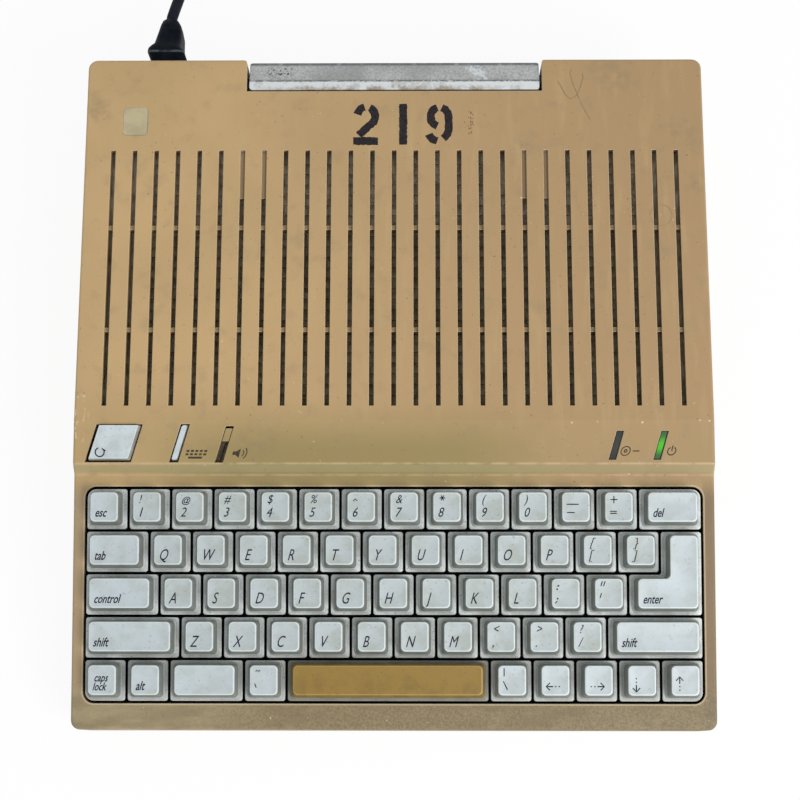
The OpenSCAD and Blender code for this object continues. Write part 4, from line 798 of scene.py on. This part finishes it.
# Signs that the typeface draws too small: the lines of each
LINE_SIGNS = {
    "_": [[(-0.6, -1.4), (4.8, -1.4)]],
    "-": [[(0, 0.85), (3.4, 0.85)]],
    "+": [[(-0.2, 0.7), (2.9, 0.7)], [(1.35, -0.9), (1.35, 2.3)]],
    "=": [[(0, 0.5), (3, 0.5)], [(0, 1.4), (3, 1.4)]],
    "*": [[(0.2, 1.4), (2.8, 1.4)], [(0.9, 0.3), (2.1, 2.5)], [(0.9, 2.5), (2.1, 0.3)]],
    "^": [[(0, 0), (0.9, 1), (1.8, 0)]],
    "[": [[(2.5, 3.2), (1.4, 3.2), (0.2, -1.7), (1.3, -1.7)]],
    "]": [[(1.2, 3.2), (2.3, 3.2), (1.1, -1.7), (0, -1.7)]],
    "{": [[(2.6, 2.7), (1.7, 2.7), (1.1, 0.6), (0.6, 0.35), (0.8, 0), (0.2, -2), (1, -2)]],
    "}": [[(1.2, 2.7), (2.1, 2.7), (1.9, 0.6), (2.4, 0.35), (1.6, 0), (1.1, -2), (0.2, -2)]],
    "|": [[(0, -0.8), (0, 2.8)]],
    "\\": [[(0, 3), (1.9, -0.8)]],
    "~": [[(0, 1.2), (0.6, 1.7), (1.3, 1.2), (2, 1.8)]],
    "`": [[(0, 1.8), (0.7, 0)]],
    "'": [[(0, 1.3), (0.7, 3.5)]],
    '"': [[(0, 0.6), (0.7, 2.8)], [(1.2, 0.6), (1.9, 2.8)]],
    ":": [[(-0.6, -0.9), (0.1, -0.9)], [(-0.6, -0.6), (0.1, -0.6)], [(-0.1, 0.6), (0.6, 0.6)],
        [(0, 0.9), (0.7, 0.9)]],
    ";": [[(-0.7, -1), (0.2, 0)], [(0, 0.9), (0.7, 0.9)], [(0, 1.2), (0.7, 1.2)]],
}


def lay_ink(mesh, points, faces, corner, target, index):
    """Sets flat shapes on the surface of the key below them."""
    up = (KEYS.to_3x3() @ Vector((0, 0, 1))).normalized()
    placed = []
    for point in points:
        above = KEYS @ Vector((corner[0] + point.x, corner[1] + point.y, CAP_TOP + 3))
        hit = target.ray_cast(above, -up)[0]
        placed.append(mesh.verts.new((hit if hit else above - up * 3 * MM) + up * INK_LIFT * MM))
    for face in faces:
        mesh.faces.new([placed[i] for i in face]).material_index = index


def sign_points(sign, height):
    if sign in LINE_SIGNS:
        points, faces = joined([ribbon(line, 0.42) for line in LINE_SIGNS[sign]])
        return [point + Vector((0.3, height * 0.25)) for point in points], faces
    if sign == "@":
        return text_points(sign, height * 0.72, (1, 0.012))
    return text_points(sign, height, DIGIT_STYLE)


def legend_parts(legend):
    """Shapes of a legend with their places above the cap's left front corner."""
    if legend.startswith("arrow"):
        turn = float(legend.split()[1])
        place = (3.4, 1.9) if turn in (0, 180) else (1.7, 2.9)
        return [(arrow_points(turn), *place)]
    if "\n" in legend:
        upper, lower = legend.split("\n")
        return [(text_points(lower, SMALL_WORD_H, WORD_STYLE), 0, 0),
            (text_points(upper, SMALL_WORD_H, WORD_STYLE), 0.6, LINE_STEP)]
    if len(legend) == 2:
        return [(sign_points(legend[1], DIGIT_H), 0, 0.2), (sign_points(legend[0], SIGN_H), 0.4, SIGN_STEP)]
    if len(legend) == 1:
        return [(text_points(legend, LETTER_H, LETTER_STYLE), 0, 0)]
    return [(text_points(legend, WORD_H, WORD_STYLE), 0, 0.2)] if legend else []


def add_legend(mesh, legend, units, x, s, target):
    left = x - (TOP_SIDE[0] + (units - 1) * KEY_PITCH) / 2 + LEGEND_LEFT
    low = s + CAP_LEAN - TOP_SIDE[1] / 2 + LEGEND_LOW
    for shapes, right, rise in legend_parts(legend):
        lay_ink(mesh, *shapes, (left + right, low + rise), target, INK)


def finish_mesh(name, mesh, materials, body, smooth_angle=30):
    """Turns a bmesh into a smooth object that rides on the body."""
    data = bpy.data.meshes.new(name)
    for material in materials:
        data.materials.append(material)
    mesh.to_mesh(data)
    mesh.free()
    for face in data.polygons:
        face.use_smooth = True
    data.set_sharp_from_angle(angle=math.radians(smooth_angle))
    made = add_object(name, data)
    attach(made, body)
    return made


def make_keys():
    for row, entries in enumerate(KEY_ROWS):
        left = 0
        for node, units, legends in entries:
            mesh = bmesh.new()
            shape = bent if node == "return_key" else rectangle
            middles = []
            for legend in legends:
                middles.append((left + units / 2 - ROW_UNITS / 2) * KEY_PITCH)
                left += units
            s = ((ROW_COUNT - 1) / 2 - row) * KEY_PITCH
            for x in middles:
                add_cap(mesh, units, x, s, shape, node == "space_bar", ROUND_CORNERS.get(node))
            target = BVHTree.FromBMesh(mesh)
            for x, legend in zip(middles, legends):
                add_legend(mesh, legend, units, x, s, target)
            if node == "space_bar":
                paints = [KEY_GAP_SHADE, SPACE_LEDGE, SPACE_SIDE_SHADE, SPACE_RIM_HIGHLIGHT, SPACE_TOP, LEGEND]
            else:
                face = KEY_TOP if "_keys_" in node else WIDE_TOP
                paints = [KEY_GAP_SHADE, LIT_KEY_LEDGE, KEY_SIDE_SHADE, KEY_RIM_HIGHLIGHT, face, LEGEND]
            cap = finish_mesh(node + "_cap", mesh, paints, node)
            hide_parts(node)


make_keys()

# ---- buttons on the strip
# Each ring: left, right, front and rear edge round the middle, corner radius, height above the strip and
# material slot
RESET_RINGS = [(-8.95, 9.9, -7.8, 7.9, 0.4, -3.5, 0), (-8.95, 9.9, -7.8, 7.9, 0.4, -0.6, 1),
    (-8.9, 9.5, -7.6, 8, 0.4, 0.4, 1), (-8.85, 8.8, -7, 8.05, 0.4, 1.2, 1),
    (-8.6, 8.55, -6.75, 7.9, 0.35, 1.3, 2), (-8.25, 8.2, -6.4, 7.55, 0.3, 1.26, 2),
    (-7.9, 7.85, -6.1, 7.2, 0.3, 1.25, 3)]
SWITCH_RINGS = [(-1.5, 1.8, -7.9, 8.3, 0.8, -4, 0), (-1.5, 1.8, -7.9, 8.3, 0.8, -1.3, 1),
    (-1.45, 1.0, -7.35, 8.15, 0.9, -0.4, 1), (-1.3, 0.85, -7.2, 8, 0.8, -0.3, 2),
    (-1.0, 0.5, -6.9, 7.65, 0.6, -0.3, 3)]
RESET_X, SWITCH_X, CONTROL_S = 18.3 - CASE_HALF_W, 47.9 - CASE_HALF_W, -10.5


def strip_button(node, x, rings):
    """Slanted button from rings that narrow upwards."""
    mesh = bmesh.new()
    placed = []
    for left, right, front, rear, radius, level, _ in rings:
        middle = Vector(((left + right) / 2, (front + rear) / 2))
        plan = outline(rectangle((right - left) / 2, (rear - front) / 2), 0, radius)
        flat = [point + middle for point in plan]
        placed.append([STRIP @ Vector((x + p.x + p.y * math.tan(SLANT), CONTROL_S + p.y, level))
            for p in flat])
    loft(mesh, placed, [ring[6] for ring in rings[1:]] + [3])
    # Lowest band painted shade, sides a shaded copy of the button plastic, rim a painted highlight.
    made = finish_mesh(node + "_cap", mesh, [KEY_GAP_SHADE, BUTTON_SIDE_SHADE, KEY_RIM_HIGHLIGHT, BUTTON], node, 20)
    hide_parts(node)


strip_button("reset_button", RESET_X, RESET_RINGS)
strip_button("keyboard_switch", SWITCH_X, SWITCH_RINGS)

# ---- connector of the mains lead
CONNECTOR_Z = CORD_ROUTE[0][2]
# Sections from the case to the lead: y, middle x, half width, half height, corner radius, all in mm
CONNECTOR_SECTIONS = [(154.4, -108.8, 9.9, 12.9, 2.5), (162.4, -109.7, 9, 12.95, 2.5),
    (166.4, -110.8, 8.7, 13, 2.4), (168.2, -111.6, 9, 13, 2.4), (169.4, -112, 9, 12.7, 2.8),
    (171.6, -112.6, 8.4, 12, 3.4), (173.4, -112.5, 7.5, 11, 3.6), (175.2, -111.9, 6.6, 10, 3.6),
    (178, -111.7, 6.3, 9, 3.6), (182.3, -111.2, 5.9, 8, 3.6), (186.8, -111.2, 5, 6.8, 3.4),
    (189.6, -111.6, 4, 5, 3), (191, -111.6, 3.1, 3.6, 2.8), (191.4, -111.5, 2.75, 2.9, 2.7)]


def connector_paint():
    """Black rubber with the cuts of the strain relief and a painted highlight along its rear edge."""
    paint = Paint("connector_rubber", 0.55)
    paint.shader.inputs["Specular IOR Level"].default_value = 0.08
    tone = paint.mix(paint.noise(5), (0.001, 0.003, 0.007), (0.005, 0.008, 0.014))
    left = paint.along(0, -110.8, -111.2)
    right = paint.math("SUBTRACT", 1.0, left)
    for side, low, high in ((left, 184.9, 185.9), (right, 187.4, 188.5), (right, 181.6, 182.6)):
        cut = paint.times(side, paint.band(1, low, high, 0.15))
        tone = paint.mix(cut, tone, (0.001, 0.001, 0.001))
    # Painted highlight along the rear edge, broken by noise.
    edge = paint.times(paint.band(1, 168, 169.2), paint.noise(3, 4, 0.2, 0.55))
    tone = paint.coat(tone, edge, 0.8, (0.13, 0.14, 0.16))
    paint.colour(tone)
    paint.raise_by(paint.noise(0.7, 3), 0.02)
    return paint.material


def make_connector():
    mesh = bmesh.new()
    rings = []
    for y, x, half_w, half_h, radius in CONNECTOR_SECTIONS:
        plan = outline(rectangle(half_w, half_h), 0, radius)
        rings.append([Vector((x + point.x, y, CONNECTOR_Z - point.y)) * MM for point in plan])
    loft(mesh, rings, [0] * len(rings))
    mesh.verts.ensure_lookup_table()
    mesh.faces.new([mesh.verts[index] for index in reversed(range(len(rings[0])))])
    made = finish_mesh("connector_body", mesh, [connector_paint()], "case", 50)
    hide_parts("cord_connector")
    return made


connector = make_connector()

# ---- prints on the case
STROKE = 3.7
ROUGH_STEP, ROUGHNESS = 0.7, 0.11
OVERSPRAY_DROPS = 26
# Top of the reset button above the strip, and the middle of its mark
RESET_TOP, RESET_MARK_PLACE = 1.3, (-131.6, -14.6)
wobble = random.Random(5)


def arc(x, y, radius, start, end, rise=1.0):
    """Points of an arc between two angles in degrees, counter-clockwise from the right."""
    steps = max(3, int(abs(end - start) / 12))
    angles = [math.radians(start + (end - start) * step / steps) for step in range(steps + 1)]
    return [(x + radius * math.cos(angle), y + rise * radius * math.sin(angle)) for angle in angles]


def rough_ribbon(points, width):
    """Ribbon whose edges waver a little, as sprayed paint does."""
    dense = []
    for start, end in zip(points, points[1:]):
        count = max(1, round((Vector(end) - Vector(start)).length / ROUGH_STEP))
        dense += [Vector(start).lerp(Vector(end), step / count) for step in range(count)]
    sides, faces = ribbon(dense + [Vector(points[-1])], width)
    return [side + Vector((wobble.gauss(0, ROUGHNESS), wobble.gauss(0, ROUGHNESS))) for side in sides], faces


def print_flat(mesh, shapes, surface, index, corner=(0, 0)):
    """Lays flat shapes on a sloping surface, just above it."""
    points, faces = shapes
    placed = [mesh.verts.new(surface @ Vector((corner[0] + x, corner[1] + y, INK_LIFT))) for x, y in points]
    for face in faces:
        mesh.faces.new([placed[i] for i in face]).material_index = index


def print_number(mesh, index):
    """Stencilled number on the deck, with overspray beside it."""
    low, high = 129.8, 149.9
    two = [arc(-13.1, high - 6.2, 4.2, 165, 100, 1.1),
        arc(-13.1, high - 6.2, 4.2, 68, -38, 1.1) + [(-16.6, low + 4.6)],
        [(-18.9, low + 1.8), (-7.4, low + 1.8)]]
    one = [[(4.2, low), (4.2, high)]]
    nine = [arc(21.2, high - 6.5, 4.2, 104, 256, 1.1),
        arc(21.2, high - 6.5, 4.2, 76, -10, 1.1) + arc(19.9, low + 8.4, 5.6, 8, -58, 1.15),
        arc(20.6, low + 6.6, 4.6, 262, 200, 1.05)]
    for line in two + one + nine:
        print_flat(mesh, rough_ribbon(line, STROKE), DECK, index)
    for _ in range(OVERSPRAY_DROPS):
        x, y = wobble.gauss(35.3, 0.9), wobble.uniform(135, 146)
        print_flat(mesh, ribbon([(x, y), (x + 0.35, y + 0.1)], 0.35), DECK, index)


def print_scratch(mesh, index):
    """Two scratches at the right of the deck."""
    hook = [(76.5, 161), (77.6, 159.3), (79.8, 154.7), (82.2, 152.1), (85, 153.6), (87.2, 158.2),
        (88.5, 162.8), (88, 165.1)]
    tail = [(83.2, 167.1), (82.4, 165.1), (83.4, 160.5), (85.6, 154.7), (87.7, 149), (91.4, 141.8)]
    print_flat(mesh, ribbon(hook, 0.35), DECK, index)
    print_flat(mesh, ribbon(tail, 0.3), DECK, index)


def print_signs(mesh, index):
    """Signs beside the controls: keys, loudspeaker, disk and the sign for standby."""
    keys = [ribbon([(x, y), (x + 1.3, y)], 0.9) for y in (0.5, 2) for x in (0, 2, 4, 6, 8)]
    keys.append(ribbon([(1.6, -1), (7.8, -1)], 0.9))
    cone = ([(1.4, 0.2), (3.2, -1), (3.2, 3), (1.4, 1.8)], [(0, 1, 2, 3)])
    sound = [ribbon([(0, 1), (1.4, 1)], 1.6), cone, ribbon(arc(3, 1, 1.9, -45, 45), 0.45),
        ribbon(arc(3, 1, 3.3, -45, 45), 0.45)]
    disk = [ribbon(arc(2.2, 1, 2, 0, 360), 0.45), ribbon(arc(2.2, 1, 0.6, 0, 360), 0.5),
        ribbon([(5.4, 1), (8.4, 1)], 0.5)]
    standby = [ribbon(arc(2.2, 1, 1.8, 120, 420), 0.5), ribbon([(2.2, 1), (2.2, 3.4)], 0.5)]
    for shapes, x, s in ((keys, -93.4, -16), (sound, -72.4, -16), (disk, 101.4, -15), (standby, 122, -15)):
        for points, faces in shapes:
            slanted = [(p[0] + p[1] * LETTER_SHEAR, p[1]) for p in points]
            print_flat(mesh, (slanted, faces), STRIP, index, (x, s))


def make_prints():
    mesh = bmesh.new()
    print_number(mesh, 0)
    print_scratch(mesh, 1)
    print_signs(mesh, 2)
    finish_mesh("case_prints", mesh, [STENCIL, SCRATCH, LABEL], "case")
    mark = bmesh.new()
    button_top = STRIP @ Matrix.Translation((0, 0, RESET_TOP))
    for shape in (ribbon(arc(0, 0, 2, 110, 400), 0.5), ribbon([(2.6, 0.6), (0.9, 1.6)], 0.5)):
        print_flat(mark, shape, button_top, 0, RESET_MARK_PLACE)
    finish_mesh("reset_mark", mark, [LEGEND], "reset_button")


make_prints()

# ---- floor and light
FLOOR_SIDE = 6
# To the camera, most of the floor is plain white, so that only a faint shadow stays
SHADOW_SHARE = 0.08


def floor_material():
    """Pale floor that the camera, reflections and glass see as nearly plain white."""
    paint = Paint("floor", 0.9)
    paint.colour((0.93, 0.93, 0.93))
    seen = paint.node("LightPath").outputs
    in_view = paint.math("MAXIMUM", seen["Is Camera Ray"], seen["Is Glossy Ray"])
    in_view = paint.math("MAXIMUM", in_view, seen["Is Transmission Ray"])
    blend = paint.node("MixShader")
    paint.plug(blend.inputs[0], paint.times(in_view, 1 - SHADOW_SHARE))
    paint.plug(blend.inputs[1], paint.shader.outputs[0])
    paint.plug(blend.inputs[2], paint.node("Emission").outputs[0])
    paint.plug(paint.surface, blend.outputs[0])
    return paint.material


def make_floor():
    half = FLOOR_SIDE / 2
    data = bpy.data.meshes.new("floor")
    data.from_pydata([(-half, -half, 0), (half, -half, 0), (half, half, 0), (-half, half, 0)], [], [(0, 1, 2, 3)])
    floor = add_object("floor", data)
    dress(floor, floor_material())


def make_world():
    """Even light from all round, with a plain white background."""
    scene.world = bpy.data.worlds.new("studio")
    scene.world.use_nodes = True
    tree = scene.world.node_tree
    tree.nodes.clear()
    ray, soft, white, pick, out = [tree.nodes.new("ShaderNode" + kind)
        for kind in ("LightPath", "Background", "Background", "MixShader", "OutputWorld")]
    soft.inputs["Color"].default_value = (0.95, 0.98, 1, 1)
    soft.inputs["Strength"].default_value = 0.6
    white.inputs["Strength"].default_value = 1
    for output, socket in ((ray.outputs["Is Camera Ray"], pick.inputs[0]), (soft.outputs[0], pick.inputs[1]),
            (white.outputs[0], pick.inputs[2]), (pick.outputs[0], out.inputs[0])):
        tree.links.new(output, socket)


def area_light(name, place, target, size, power):
    lamp = bpy.data.lights.new(name, "AREA")
    lamp.size = size
    lamp.energy = power
    holder = add_object(name, lamp)
    holder.location = place
    holder.rotation_euler = (Vector(target) - Vector(place)).to_track_quat("-Z", "Y").to_euler()


make_floor()
make_world()
area_light("key_light", (0.75, -0.75, 1.0), (0, 0, 0.04), 0.7, 15)
